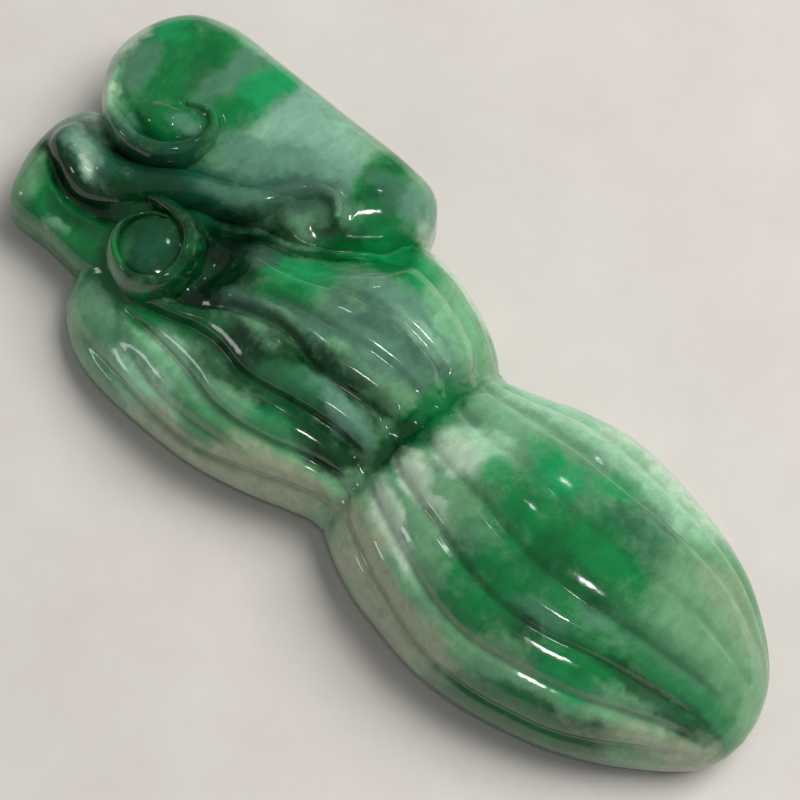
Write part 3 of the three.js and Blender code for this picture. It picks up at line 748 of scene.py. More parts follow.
@dataclass(frozen=True)
class PolishedJadeite:
    """Jadeite, worked with fine grit and polished with oxide on leather.

    It is glassy and slightly translucent: small hard highlights lie on a colour that
    comes from within, cloudy on a scale of millimetres, and light creeps a fraction of a
    millimetre under the surface, which softens edges. The colour is darkened at the
    bottom of each cut, a painted shade, so the creases look darker than the ribs.

    Attributes:
        name: the finish's name.
        slot: the record's slot that it stands for.
        region: low x, low y, high x and high y of the pieces that have it.
        roughness: how matt the polish is.
        ior: the mineral's refractive index.
        translucency: the share of the light that goes into the stone.
        depth: how far that light creeps, in millimetres, most of it in green.
        waviness: height in millimetres of the unevenness that the polish leaves.
        drift: how far the stone's flow moves its patches, in millimetres.
        fringe: how far the patches fray at their edges, as a share of their size.
        shade: how much darker the painted shade makes the colour at the bottom of a crease.
    """

    name: str
    slot: str
    region: tuple[float, float, float, float]
    roughness: float = 0.1
    ior: float = 1.66
    translucency: float = 0.4
    depth: float = 0.7
    waviness: float = 0.035
    drift: float = 3.0
    fringe: float = 0.5
    shade: float = 0.3

    def flow(self, add: Adder, place: Source) -> Source:
        """Moves places about, coarsely and finely, so that no patch has a smooth outline.

        Args:
            add: adds a node to the material's tree.
            place: Object coordinates in metres.

        Returns:
            What gives the moved places.
        """
        moved = place
        for scale, reach in ((SWIRLS, self.drift), (RIPPLES, 0.3 * self.drift)):
            noise = add("ShaderNodeTexNoise", {"Vector": place, "Scale": scale, "Detail": 3.0})
            middle = {0: noise.outputs["Color"], 1: (0.5, 0.5, 0.5)}
            centred = add("ShaderNodeVectorMath", middle, operation="SUBTRACT")
            push = add("ShaderNodeVectorMath", {0: centred, "Scale": reach * MM}, operation="SCALE")
            moved = add("ShaderNodeVectorMath", {0: moved, 1: push}, operation="ADD")
        return moved

    def ground(self, add: Adder, place: Source) -> Source:
        """Builds the cloudy ground, from grey green over sage to mint.

        Args:
            add: adds a node to the material's tree.
            place: places moved by the stone's flow.

        Returns:
            What gives the ground's colour.
        """
        haze = {"Vector": place, "Scale": HAZE, "Detail": 5.0, "Roughness": 0.6}
        ground = add("ShaderNodeValToRGB", {0: add("ShaderNodeTexNoise", haze)})
        ramp = ground.color_ramp
        ramp.elements.new(0.5)
        stops = ((0.3, Tint.GREY), (0.5, Tint.SAGE), (0.72, Tint.MINT))
        for element, (stop, tint) in zip(ramp.elements, stops):
            element.position = stop
            element.color = linear(tint.value)
        return ground

    def colour(self, add: Adder, place: Source) -> Source:
        """Builds the colour: a cloudy ground with its patches laid over it, some of them painted shade and
        painted highlights.

        Args:
            add: adds a node to the material's tree.
            place: Object coordinates in metres.

        Returns:
            What gives the colour.
        """
        warped = self.flow(add, place)
        colour = self.ground(add, warped)
        fringe = {"Vector": place, "Scale": FRINGES, "Detail": 5.0, "Roughness": 0.65}
        ragged = add(
            "ShaderNodeMapRange",
            {
                "Value": add("ShaderNodeTexNoise", fringe),
                "From Min": 0.25,
                "From Max": 0.75,
                "To Min": 1 - self.fringe,
                "To Max": 1 + self.fringe,
            },
        )
        grown = PATCH_GROWTH * MM
        for cloud in CLOUDS:
            if not cloud.touches(self.region):
                continue
            egg = {
                "Vector": warped,
                "Location": (cloud.x * MM, cloud.y * MM, PATCH_MIDDLE * MM),
                "Rotation": (0.0, 0.0, math.radians(cloud.turn)),
                "Scale": (grown * cloud.long, grown * cloud.short, PATCH_HEIGHT * MM),
            }
            inside = {0: add("ShaderNodeMapping", egg, vector_type="TEXTURE")}
            fade = add("ShaderNodeTexGradient", inside, gradient_type="SPHERICAL").outputs["Fac"]
            torn = add("ShaderNodeMath", {0: fade, 1: ragged}, operation="MULTIPLY")
            edge = {"From Min": PATCH_STARTS, "From Max": PATCH_IS_FULL, "To Max": cloud.strength}
            cover = add("ShaderNodeMapRange", {"Value": torn, **edge}, interpolation_type="SMOOTHSTEP")
            laid = {0: cover, 6: colour, 7: linear(cloud.tint.value)}
            colour = add("ShaderNodeMix", laid, data_type="RGBA").outputs[2]
        return self.grain(add, warped, colour)

    def grain(self, add: Adder, place: Source, colour: Source) -> Source:
        """Lays fine fibres across the pod over a colour, and darkens it in the creases as painted shade.

        Args:
            add: adds a node to the material's tree.
            place: Object coordinates, moved by the stone's flow.
            colour: the cloudy colour.

        Returns:
            What gives the finished colour.
        """
        drawn = add("ShaderNodeVectorMath", {0: place, 1: (1.0, 0.4, 1.0)}, operation="MULTIPLY")
        fibres = {"Vector": drawn, "Scale": FIBRES, "Detail": 6.0, "Roughness": 0.7}
        light = {"From Min": 0.28, "From Max": 0.72, "To Min": 0.8, "To Max": 1.24}
        lighter = add("ShaderNodeMapRange", {"Value": add("ShaderNodeTexNoise", fibres), **light})
        # painted shade: the colour is darkened at the bottom of each crease
        hollow = add("ShaderNodeAttribute", attribute_name="hollow").outputs["Fac"]
        darker = add("ShaderNodeMapRange", {"Value": hollow, "To Min": 1.0, "To Max": 1 - self.shade})
        both = add("ShaderNodeMath", {0: lighter, 1: darker}, operation="MULTIPLY")
        return add("ShaderNodeVectorMath", {0: colour, "Scale": both}, operation="SCALE")

    def material(self) -> Material:
        """Builds the finish.

        Returns:
            The material.
        """
        material, add = bare_material(self.name)
        place = add("ShaderNodeTexCoord").outputs["Object"]
        waves = add("ShaderNodeTexNoise", {"Vector": place, "Scale": WAVES, "Detail": 2.0})
        uneven = {"Height": waves, "Distance": self.waviness * MM, "Strength": 1.0}
        stone = add(
            "ShaderNodeBsdfPrincipled",
            {
                "Base Color": self.colour(add, place),
                "Roughness": self.roughness,
                "IOR": self.ior,
                "Subsurface Weight": self.translucency,
                "Subsurface Radius": (0.5, 1.0, 0.7),
                "Subsurface Scale": self.depth * MM,
                "Normal": add("ShaderNodeBump", uneven),
            },
        )
        add("ShaderNodeOutputMaterial", {"Surface": stone})
        return material


POD_JADE = PolishedJadeite("polished_jadeite_pod", "jade_pod", (-30, -13, 30, 9), roughness=0.11)
RUYI_JADE = PolishedJadeite("polished_jadeite_ruyi", "jade_ruyi", (-30, 0, -5, 13))
VINE_JADE = PolishedJadeite("polished_jadeite_vine", "jade_vine", (-30, -7, -12, 7))


# Carved forms


@dataclass(frozen=True)
class Cut:
    """One line that is cut into a form, or left standing on it where depth is negative.

    Attributes:
        places: the line's points, in the terms of the form that it is on.
        depth: how deep it is, in its middle.
        reach: how far to each side it is felt.
        ends: the share of the line at each end over which it fades.
    """

    places: Line
    depth: float
    reach: float
    ends: float = 0.15

    def fade(self, count: int) -> np.ndarray:
        """Gives the share of the depth at evenly spaced points of the line."""
        run = np.linspace(0, 1, count)
        return eased(np.clip(np.minimum(run, 1 - run) / self.ends, 0, 1))


def cut_lines(name: str, lines: list[np.ndarray], cuts: tuple[Cut, ...]) -> Object:
    """Makes the line object that the carving tree reads.

    Args:
        name: the object's name.
        lines: each cut's points on the surface, in millimetres and evenly spaced.
        cuts: the cuts, in the same order.

    Returns:
        The object of lines with their depth and reach.
    """
    depths = []
    reaches = []
    for line, cut in zip(lines, cuts):
        depths.append(cut.depth * MM * cut.fade(len(line)))
        reaches.append(np.full(len(line), cut.reach * MM))
    return line_object(name, lines, depth=depths, reach=reaches)


@dataclass(frozen=True)
class Trees:
    """The Geometry Nodes trees that shape the forms."""

    rod: NodeTree
    carve: NodeTree
    drape: NodeTree


@dataclass(frozen=True)
class Work:
    """What a form is made with: the trees that shape it, its finish and the finish's material."""

    trees: Trees
    jade: PolishedJadeite
    material: Material


@dataclass(frozen=True)
class Chisel:
    """The section that a tool gives the cuts of one kind.

    Attributes:
        bottom: radius of a cut's bottom.
        steepness: how steeply its sides rise.
        furrow_reach: how far to each side the narrower furrow along its line is felt.
        furrow_share: the share of the depth that goes into that furrow.
    """

    bottom: float
    steepness: float
    furrow_reach: float
    furrow_share: float = 0.0

    def carve(self, piece: Object, work: Work, lines: Object) -> None:
        """Cuts a piece along an object of lines.

        Args:
            piece: the piece.
            work: what it is made with.
            lines: the lines, with a depth and a reach at each point.
        """
        shape_with(
            piece,
            work.trees.carve,
            work.material,
            Lines=lines,
            Bottom_Radius=self.bottom * MM,
            Steepness=self.steepness,
            Furrow_Share=self.furrow_share,
            Furrow_Reach=self.furrow_reach * MM,
        )


ROD_CHISEL = Chisel(0.1, 1.8, 0.8)
PLATE_CHISEL = Chisel(0.14, 1.7, 0.8)
WAIST_CHISEL = Chisel(0.2, 2.0, 0.9)
GROOVE_CHISEL = Chisel(0.17, 1.5, 0.6, 0.42)


@dataclass(frozen=True)
class Stand:
    """Pieces that stand on a form, and how softly it runs up to them.

    Attributes:
        pieces: the pieces.
        blend: how far from a piece its bed starts to rise.
        skin: how far under a piece's surface the bed then runs.
        climb: how high the bed runs up inside a piece.
    """

    pieces: tuple[Object, ...]
    blend: float
    skin: float = 0.1
    climb: float = 0.4


def rise_to(piece: Object, work: Work, stands: list[Stand]) -> None:
    """Lets a form rise softly to the pieces that stand on it.

    Args:
        piece: the form.
        work: what it is made with.
        stands: what stands on it.
    """
    groups = []
    for stand in stands:
        group = bpy.data.collections.new(f"{piece.name}_stand")
        for neighbour in stand.pieces:
            group.objects.link(neighbour)
        groups.append(group)
        sizes = {"Blend": stand.blend * MM, "Skin": stand.skin * MM, "Climb": stand.climb * MM}
        shape_with(piece, work.trees.drape, work.material, Forms=group, **sizes)
    settle(piece)
    for group in groups:
        bpy.data.collections.remove(group)


def discard(helpers: list[Object]) -> None:
    """Deletes what only shaped a piece.

    Args:
        helpers: the objects to delete.
    """
    for helper in helpers:
        mesh = helper.data
        bpy.data.objects.remove(helper)
        bpy.data.meshes.remove(mesh)


@dataclass
class Form:
    """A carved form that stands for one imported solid.

    Attributes:
        name: the piece's name.
        node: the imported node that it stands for.
    """

    name: str
    node: str

    def finish(self, piece: Object, jade: PolishedJadeite) -> Object:
        """Hangs the piece on the body, hides the imported solid that it stands for, and logs it.

        Args:
            piece: the finished piece.
            jade: its finish; not used.

        Returns:
            The piece.
        """
        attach(piece, BODY)
        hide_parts(self.node)
        log.info("%s: %d faces, for %s", self.name, len(piece.data.polygons), self.node)
        return piece

    def on_top(self, places: Line) -> np.ndarray:
        """Draws a line on the form's upper side. Each form that is engraved says how."""
        raise NotImplementedError(self.name)

    def engrave(self, piece: Object, work: Work, chisel: Chisel, cuts: tuple[Cut, ...]) -> None:
        """Carves the form's fine lines.

        Args:
            piece: the form's piece.
            work: what it is made with.
            chisel: the section of the cuts.
            cuts: the cuts, in x and y.
        """
        if cuts:
            lines = cut_lines(f"{self.name}_cuts", [self.on_top(cut.places) for cut in cuts], cuts)
            chisel.carve(piece, work, lines)
            settle(piece)
            discard([lines])


ROUND_END = 14
"""Rings of a rod's round end."""

LEAST_END = 0.15
"""The smallest half width in millimetres over which a rod's end is rounded."""

STEP = 0.004
"""The share of a route before and after a point from which its direction is taken."""


@dataclass
class Rod(Form):
    """A round-topped rod that lies on the carving, such as the vine or a scroll.

    Attributes:
        route: x, y, the height of its crest, and its half width, at points on its way.
        sink: its half height for each half width.
        lean: how far its crest lies to the left of its middle, for each half width.
        cuts: fine cuts and ridges on it.
        sides: how many faces go round it.
        steps: how many rings lie between its two round ends.
    """

    route: tuple[tuple[float, float, float, float], ...]
    sink: float = 1.3
    lean: float = 0.0
    cuts: tuple[Cut, ...] = ()
    sides: int = 56
    steps: int = 220

    def on_top(self, places: Line) -> np.ndarray:
        """Draws a line on the rod's upper side through x and y places.

        Args:
            places: the line's points.

        Returns:
            The line in millimetres, as evenly spaced points.
        """
        route = spaced(self.route, 400)
        line = spaced(places, 120)
        nearest = np.linalg.norm(line[:, None] - route[None, :, :2], axis=2).argmin(axis=1)
        crest, half = route[nearest, 2], route[nearest, 3]
        away = np.linalg.norm(line - route[nearest, :2], axis=1)
        drop = self.sink * half * (1 - np.sqrt(np.clip(1 - (away / half) ** 2, 0, 1)))
        return np.column_stack([line, crest - drop])

    def stations(self) -> tuple[np.ndarray, np.ndarray]:
        """Places the rings: shares of the route, and how full the rod is at each.

        Returns:
            Both, with one value for each ring.
        """
        total = lengths_along(spaced(self.route, 200)[:, :2])[-1]
        turn = np.radians(np.linspace(2, 90, ROUND_END))[:-1]
        start, stop = (max(self.route[end][3], LEAST_END) / total for end in (0, -1))
        body = np.linspace(start, 1 - stop, self.steps)
        marks = [start * (1 - np.cos(turn)), body, 1 - stop * (1 - np.cos(turn[::-1]))]
        full = [np.sin(turn), np.ones(self.steps), np.sin(turn[::-1])]
        return np.concatenate(marks), np.concatenate(full)

    def build(self, work: Work) -> Object:
        """Sweeps the rod along its route.

        Args:
            work: what it is made with.

        Returns:
            The piece.
        """
        marks, full = self.stations()
        rows = resampled(self.route, marks)
        behind, ahead = (
            resampled(self.route, np.clip(marks + step, 0, 1))[:, :2] for step in (-STEP, STEP)
        )
        way = (ahead - behind) / np.linalg.norm(ahead - behind, axis=1, keepdims=True)
        width = rows[:, 3]
        middle = np.column_stack([rows[:, :2], rows[:, 2] - self.sink * width])
        piece = line_object(
            self.name,
            [middle],
            spot=[middle * MM],
            side=[np.column_stack([-way[:, 1], way[:, 0], np.zeros(len(way))])],
            half_width=[width * full * MM],
            half_height=[self.sink * width * full * MM],
            lean=[self.lean * width * full * MM],
        )
        shape_with(piece, work.trees.rod, work.material, Sides=self.sides)
        settle(piece)
        self.engrave(piece, work, ROD_CHISEL, self.cuts)
        if signed_volume(piece.data) < 0:
            piece.data.flip_normals()
        return self.finish(piece, work.jade)


@dataclass
class Bud(Form):
    """The domed bud in the middle of the coil.

    Attributes:
        x, y: its middle.
        top: height of its crown over the back.
        radius, height: its size.
        fullness: how round its side is; 1 is an egg's half, and less is fuller.
    """

    x: float = -17.45
    y: float = -3.35
    top: float = 8.1
    radius: float = 2.6
    height: float = 2.4
    fullness: float = 0.85

    def build(self, work: Work) -> Object:
        """Turns the bud, a little fuller than an egg's half.

        Args:
            work: what it is made with.

        Returns:
            The piece.
        """
        up = np.radians(np.linspace(-88, 88, 60))[:, None]
        around = np.radians(np.arange(0, 360, 4))[None]
        reach = self.radius * np.cos(up) ** self.fullness
        half = self.height / 2
        middle = np.array([self.x, self.y, self.top - half])
        level = np.sin(up) + 0 * around
        arms = np.stack([reach * np.cos(around), reach * np.sin(around), half * level], axis=-1)
        pole = np.array([0, 0, half])
        piece = closed_skin(self.name, middle + arms, middle - pole, middle + pole)
        piece.data.materials.append(work.material)
        return self.finish(piece, work.jade)


@dataclass
class Plate(Form):
    """A thick plate with a round edge and a softly domed face.

    Attributes:
        x, y: its lower left corner.
        length, width: its size along and across the pod.
        height: its face's height over the back.
        round: radius of its edges.
        crown: the face's own rise to its spine.
        outline: its outline, as shares of length and width.
        spine: the two ends of its spine, as the same shares.
        valleys: broad cuts and swellings of the face.
        cuts: fine cuts and ridges of the face.
        bed: height of a lobe where it meets the plate's edge.
        bed_slope: how steeply the lobe rises away from there.
        bed_round: how softly that slope turns into the lobe's own surface.
    """

    x: float
    y: float
    length: float
    width: float
    height: float
    round: float
    crown: float
    outline: Line
    spine: Line
    valleys: tuple[Cut, ...] = ()
    cuts: tuple[Cut, ...] = ()
    bed: float = 5.3
    bed_slope: float = 1.15
    bed_round: float = 0.7

    def placed(self, shares: Line) -> np.ndarray:
        """Turns shares of the plate's length and width into millimetres."""
        return np.array([self.x, self.y]) + np.array(shares) * (self.length, self.width)

    def edge(self, count: int) -> np.ndarray:
        """Gives the outline as evenly spaced points, in millimetres.

        Args:
            count: how many points.

        Returns:
            The points, in x and y.
        """
        corners = self.placed(self.outline)
        looped = np.vstack([corners[-3:], corners, corners[:3]])
        fine = through(looped, np.linspace(0, 1, 40 * len(looped)))
        spans = len(looped) - 1
        start, stop = (len(fine) * corner // spans for corner in (3, 3 + len(corners)))
        closed = fine[start:stop]
        run = lengths_along(np.vstack([closed, closed[:1]]))
        wanted = np.linspace(0, run[-1], count, endpoint=False)
        return np.stack([np.interp(wanted, run, np.append(column, column[0])) for column in closed.T], axis=1)

    def rings(self, count: int = 420) -> tuple[np.ndarray, np.ndarray]:
        """Draws the plate's rings, from the middle of its back to the spine of its face.

        Args:
            count: points round a ring.

        Returns:
            The rings, and the middle of the spine.
        """
        edge = self.edge(count)
        start, stop = self.placed(self.spine)
        axis = stop - start
        along = np.clip(((edge - start) @ axis) / (axis @ axis), 0, 1)
        root = start + along[:, None] * axis
        arm = edge - root
        reach = np.linalg.norm(arm, axis=1)
        way = arm / reach[:, None]
        wall = self.height - self.crown - self.round
        stop_turn = np.full(count, math.radians(75))
        for _ in range(12):
            rise = self.crown + self.round * (1 - np.sin(stop_turn))
            run = np.maximum(reach - self.round * (1 - np.cos(stop_turn)), 0.5)
            stop_turn = np.arctan2(run, 2 * rise)
        # the back, then the lower edge, the wall and the upper edge
        insets = [(self.round + (reach - self.round) * share, 0.0) for share in np.linspace(0.9, 0.1, 12)]
        insets += [
            (self.round * (1 - math.sin(turn)), self.round * (1 - math.cos(turn)))
            for turn in np.radians(np.linspace(0, 90, 20))
        ]
        insets += [(0.0, z) for z in np.linspace(self.round, wall, 12)[1:-1]]
        insets += [
            (self.round * (1 - np.cos(stop_turn * share)), wall + self.round * np.sin(stop_turn * share))
            for share in np.linspace(0, 1, 24)
        ]
        # the domed face, which leaves the upper edge at its own slope
        inset, z = insets[-1]
        insets += [
            (inset + (reach - inset) * share, z + (self.height - z) * (1 - (1 - share) ** 2))
            for share in np.append(np.linspace(0, 0.985, 64)[1:], 0.9995)
        ]
        rings = [
            np.column_stack([root + way * np.reshape(reach - inset, (count, 1)), np.zeros(count) + z])
            for inset, z in insets
        ]
        return np.array(rings), (start + stop) / 2

    def on_top(self, places: Line) -> np.ndarray:
        """Draws a line on the face through x and y places."""
        line = spaced(places, 120)
        return np.column_stack([line, np.full(len(line), self.height - self.crown / 2)])

    def build(self, work: Work, stands: list[Stand]) -> Object:
        """Builds the plate, carves its face and lets it rise to what stands on it.

        Args:
            work: what it is made with.
            stands: the pieces that stand on it.

        Returns:
            The piece.
        """
        rings, middle = self.rings()
        rings = np.where(rings[..., 2:] > self.round, hollowed(rings, self.valleys), rings)
        piece = closed_skin(self.name, rings, np.array([*middle, 0.0]), np.array([*middle, self.height]))
        self.engrave(piece, work, PLATE_CHISEL, self.cuts)
        rise_to(piece, work, stands)
        return self.finish(piece, work.jade)


@dataclass(frozen=True)
class Waist:
    """The section at which the two lobes meet.

    Attributes:
        x, y: its middle.
        width, height: its size.
        slant: how far it leans along the pod, for each millimetre across it.
        crease, crease_reach: depth and reach of the crease that runs round it.
        cusps: degrees round the pod at which the upper ribs' round tips meet.
        tip: how far those tips run on over the lower lobe.
    """

    x: float = 2.35
    y: float = -1.525
    width: float = 14.9
    height: float = 8.1
    slant: float = 0.1
    crease: float = 0.85
    crease_reach: float = 1.5
    cusps: tuple[float, ...] = (-88, -66, -50, -34, -12, 9, 27, 54, 76, 92)
    tip: float = 0.7


WAIST = Waist()

# A lobe's section, as shares of its height, half width and length: how high its girth
# lies, how wide its flat underside is, and over which end part that underside rises
GIRTH_SHARE = 0.31
FLAT_SHARE = 0.66
END_SHARE = 0.2

STATIONS = (0.0, 0.12, 0.25, 0.4, 0.55, 0.7, 0.85, 0.97)
"""Shares of a lobe's length at which the places of its grooves are given."""

UNDERSIDE = 2.5
"""Height in millimetres below which the broad valleys of the pod fade out."""


@dataclass(frozen=True)
class Groove:
    """A groove between two ribs.

    Attributes:
        angles: degrees round the pod at each of the stations, 0 on top.
        start: share of the lobe's length at which it starts.
        stop: share at which it ends.
        depth: how deep it is.
        start_fade, stop_fade: shares of the length over which it deepens and runs out.
    """

    angles: tuple[float, ...]
    start: float = 0.0
    stop: float = 0.97
    depth: float = 0.5
    start_fade: float = 0.05
    stop_fade: float = 0.15


@dataclass
class Lobe(Form):
    """One lobe of the pod, from the waist to its end.

    Attributes:
        way: 1 for a lobe that runs along +X from the waist, -1 for the other.
        length, width, height, sway: its size, and how far its belly's axis lies across.
        end_height: height of its end over the back.
        swell: run, width, height and sway shares up to the belly.
        taper: the same from the belly to the end.
        grooves: the grooves between its ribs.
        valleys: broad hollows of its top, in x and y.
        widest_rib: degrees round the pod over which its widest rib is rounded.
    """

    way: int
    length: float
    width: float
    height: float
    sway: float
    end_height: float
    swell: tuple[tuple[float, float, float, float], ...]
    taper: tuple[tuple[float, float, float, float], ...]
    grooves: tuple[Groove, ...]
    valleys: tuple[Cut, ...] = ()
    widest_rib: float = 26.0

    def profile(self) -> np.ndarray:
        """Gives the lobe's run, half width, top and sway at many places along it.

        Returns:
            One row for each place.
        """
        rows = [
            (
                run * self.length,
                WAIST.width / 2 + (self.width - WAIST.width) / 2 * wide,
                WAIST.height + (self.height - WAIST.height) * high,
                aside * self.sway,
            )
            for run, wide, high, aside in self.swell
        ]
        rows += [
            (
                run * self.length,
                self.width / 2 * wide,
                self.end_height + (self.height - self.end_height) * high,
                aside * self.sway,
            )
            for run, wide, high, aside in self.taper
        ]
        marks = np.linspace(0, 1, 1200)
        solid = through(np.array(rows)[:, :3], marks)
        axis = through(np.array(rows)[:, [0, 3]], marks)
        return np.column_stack([solid, axis[:, 1]])

    def section(self, run: np.ndarray, top: np.ndarray) -> tuple[np.ndarray, np.ndarray]:
        """Gives the height of a section's base and girth from its share of the length and its top.

        Args:
            run: shares of the lobe's length.
            top: the lobe's top there.

        Returns:
            Both heights in millimetres.
        """
        ending = np.clip((1 - run) / END_SHARE, 0, 1)
        base = self.end_height * (1 - np.sqrt(np.clip(1 - (1 - ending) ** 2, 0, 1)))
        return base, base + GIRTH_SHARE * (top - base)

    def at(self, run: np.ndarray, degrees: np.ndarray) -> np.ndarray:
        """Gives points on the lobe's smooth upper surface.

        Args:
            run: shares of the lobe's length.
            degrees: angles round the pod, 0 on top.

        Returns:
            The points in millimetres.
        """
        table = self.profile()
        along = np.asarray(run) * self.length
        half, top, sway = (np.interp(along, table[:, 0], table[:, column]) for column in (1, 2, 3))
        girth = self.section(np.asarray(run), top)[1]
        turn = np.radians(degrees)
        y = half * np.sin(turn)
        z = girth + (top - girth) * np.cos(turn)
        x = self.way * along + WAIST.slant * (1 - np.clip(run, 0, 1)) ** 4 * y
        return np.column_stack([WAIST.x + x, WAIST.y + sway + y, z])

    def groove_angles(self, groove: Groove, run: np.ndarray) -> np.ndarray:
        """Gives a groove's angles round the pod at shares of the lobe's length.

        Args:
            groove: the groove.
            run: the shares.

        Returns:
            The angles in degrees.
        """
        percent = 100 * np.array(STATIONS)
        smooth = through(np.column_stack([percent, groove.angles]), np.linspace(0, 1, 400))
        return np.interp(run, smooth[:, 0] / 100, smooth[:, 1])

    def groove_line(self, groove: Groove) -> tuple[np.ndarray, np.ndarray, np.ndarray]:
        """Draws a groove, which is felt half way to the groove beside it.

        Args:
            groove: the groove.

        Returns:
            Its points, and its depth and reach in millimetres at each.
        """
        run = np.linspace(groove.start, groove.stop, 260)
        degrees = self.groove_angles(groove, run)
        gap = np.full(len(run), self.widest_rib)
        for other in self.grooves:
            if other is groove:
                continue
            there = (run >= other.start) & (run <= other.stop)
            beside = np.abs(self.groove_angles(other, run) - degrees)
            gap = np.where(there, np.minimum(gap, beside), gap)
        gap = np.convolve(np.pad(gap, 12, mode="edge"), np.ones(25) / 25, mode="valid")
        table = self.profile()
        along = np.clip(run, 0, 1) * self.length
        half, top = (np.interp(along, table[:, 0], table[:, column]) for column in (1, 2))
        turn = np.radians(degrees)
        radius = np.hypot(half * np.cos(turn), (1 - GIRTH_SHARE) * top * np.sin(turn))
        start = np.clip((run - groove.start) / groove.start_fade, 0, 1)
        stop = np.clip((groove.stop - run) / groove.stop_fade, 0, 1)
        depth = groove.depth * eased(start) * eased(stop)
        return self.at(np.clip(run, 0, 1), degrees), depth, 0.52 * np.radians(gap) * radius

    def rings(self, count: int = 250) -> np.ndarray:
        """Draws the lobe's rings, from the waist to its end.

        Args:
            count: rings from the waist to the end.

        Returns:
            The rings, as rings by sides by three.
        """
        table = self.profile()
        run = lengths_along(table[:, :3])
        wanted = np.linspace(0, run[-1], count + 1)[:-1]
        along, half, top, sway = (np.interp(wanted, run, column) for column in table.T)
        base, girth = (height[:, None] for height in self.section(along / self.length, top))
        half, top = half[:, None], top[:, None]
        over = np.radians(np.linspace(90, -90, 241))[None]
        under = np.radians(np.linspace(0, 90, 22)[1:])[None]
        flat = FLAT_SHARE * half
        y_over, z_over = half * np.sin(over), girth + (top - girth) * np.cos(over)
        y_under = flat + (half - flat) * np.cos(under)
        z_under = base + (girth - base) * (1 - np.sin(under))
        floor = np.linspace(-1, 1, 26)[None, 1:-1]
        y = np.concatenate([y_over, -y_under, flat * floor, y_under[:, ::-1]], axis=1)
        z = np.concatenate([z_over, z_under, base + 0 * flat * floor, z_under[:, ::-1]], axis=1)
        lean = WAIST.slant * (1 - along / self.length) ** 4
        x = self.way * along[:, None] + lean[:, None] * y
        return np.stack([WAIST.x + x, WAIST.y + sway[:, None] + y, z], axis=-1)

    def end_point(self) -> np.ndarray:
        """Gives the point in which the lobe ends."""
        sway = self.profile()[-1, 3]
        return np.array([WAIST.x + self.way * self.length, WAIST.y + sway, self.end_height])


@dataclass
class Pod:
    """The pod: two lobes, carved as one surface and parted at the waist.

    Attributes:
        lower: the lobe with the tip.
        upper: the lobe at the stem end.
        inlay: the plate that is let into the upper lobe.
    """

    lower: Lobe
    upper: Lobe
    inlay: Plate

    def bed(self, places: np.ndarray) -> np.ndarray:
        """Lowers points where the plate is let in, and in the broad valleys.

        Args:
            places: points on the pod, in millimetres.

        Returns:
            The lowered points.
        """
        placed = let_in(places, self.inlay)
        share = np.clip(placed[..., 2:] / UNDERSIDE, 0, 1)
        return placed + share * (hollowed(placed, self.lower.valleys + self.upper.valleys) - placed)

    def waist_line(self) -> np.ndarray:
        """Draws the waist's crease, which runs round the tips of the upper ribs.

        Returns:
            Its points in millimetres.
        """
        degrees = np.linspace(-84, 84, 300)
        cusp = np.array(WAIST.cusps)
        rib = np.searchsorted(cusp, degrees) - 1
        share = (degrees - cusp[rib]) / (cusp[rib + 1] - cusp[rib])
        line = self.lower.at(np.zeros(300), degrees)
        line[:, 0] += WAIST.tip * (np.sqrt(1 - (2 * share - 1) ** 2) - 0.6)
        return line

    def carve(self, piece: Object, work: Work) -> None:
        """Cuts the waist's crease and the grooves between the ribs into the whole pod.

        Args:
            piece: the pod.
            work: what it is made with.
        """
        crease = Cut((), WAIST.crease, WAIST.crease_reach, 0.2)
        waist = cut_lines("pod_waist", [self.waist_line()], (crease,))
        WAIST_CHISEL.carve(piece, work, waist)
        drawn = [lobe.groove_line(groove) for lobe in (self.lower, self.upper) for groove in lobe.grooves]
        lines, depths, reaches = zip(*drawn)
        grooves = line_object(
            "pod_grooves",
            [self.bed(line) for line in lines],
            depth=[depth * MM for depth in depths],
            reach=[reach * MM for reach in reaches],
        )
        GROOVE_CHISEL.carve(piece, work, grooves)
        settle(piece)
        discard([waist, grooves])

    def build(self, work: Work, stands: list[Stand]) -> tuple[Object, Object]:
        """Builds the whole pod and parts it into its two lobes.

        Args:
            work: what it is made with.
            stands: the pieces that stand on it.

        Returns:
            The lower and the upper lobe.
        """
        below, above = self.lower.rings(), self.upper.rings()
        rings = np.concatenate([above[:0:-1], below])
        start, stop = self.upper.end_point(), self.lower.end_point()
        piece = closed_skin("jade_pod", self.bed(rings), start, stop)
        self.carve(piece, work)
        rise_to(piece, work, stands)
        places = np.empty(3 * len(piece.data.vertices))
        piece.data.vertices.foreach_get("co", places)
        places = places.reshape(-1, 3) / MM
        shaped = places[1:-1].reshape(rings.shape)
        # the mark for the painted crease shade goes over to the two lobes
        hollow = np.empty(len(places))
        piece.data.attributes["hollow"].data.foreach_get("value", hollow)
        creases = hollow[1:-1].reshape(rings.shape[:2])
        discard([piece])
        waist = len(above) - 1
        middle = shaped[waist].mean(axis=0)
        cap = waist_cap(shaped[waist])
        lobes = []
        for lobe, own, marks, end in (
            (self.lower, shaped[waist:], creases[waist:], places[-1]),
            (self.upper, shaped[waist::-1], creases[waist::-1], places[0]),
        ):
            half = closed_skin(lobe.name, np.concatenate([cap, own]), middle, end)
            sharpen_ring(half, len(cap), own.shape[1])
            layer = half.data.attributes.new("hollow", "FLOAT", "POINT")
            inside = np.zeros(1 + cap.shape[0] * cap.shape[1])
            layer.data.foreach_set("value", np.concatenate([inside, marks.ravel(), [0.0]]))
            half.data.materials.append(work.material)
            lobes.append(lobe.finish(half, work.jade))
        return tuple(lobes)


def waist_cap(ring: np.ndarray) -> np.ndarray:
    """Draws the flat rings that close a lobe inside the waist, from the middle out."""
    middle = ring.mean(axis=0)
    return np.array([middle + (ring - middle) * share for share in (0.3, 0.65, 0.9)])


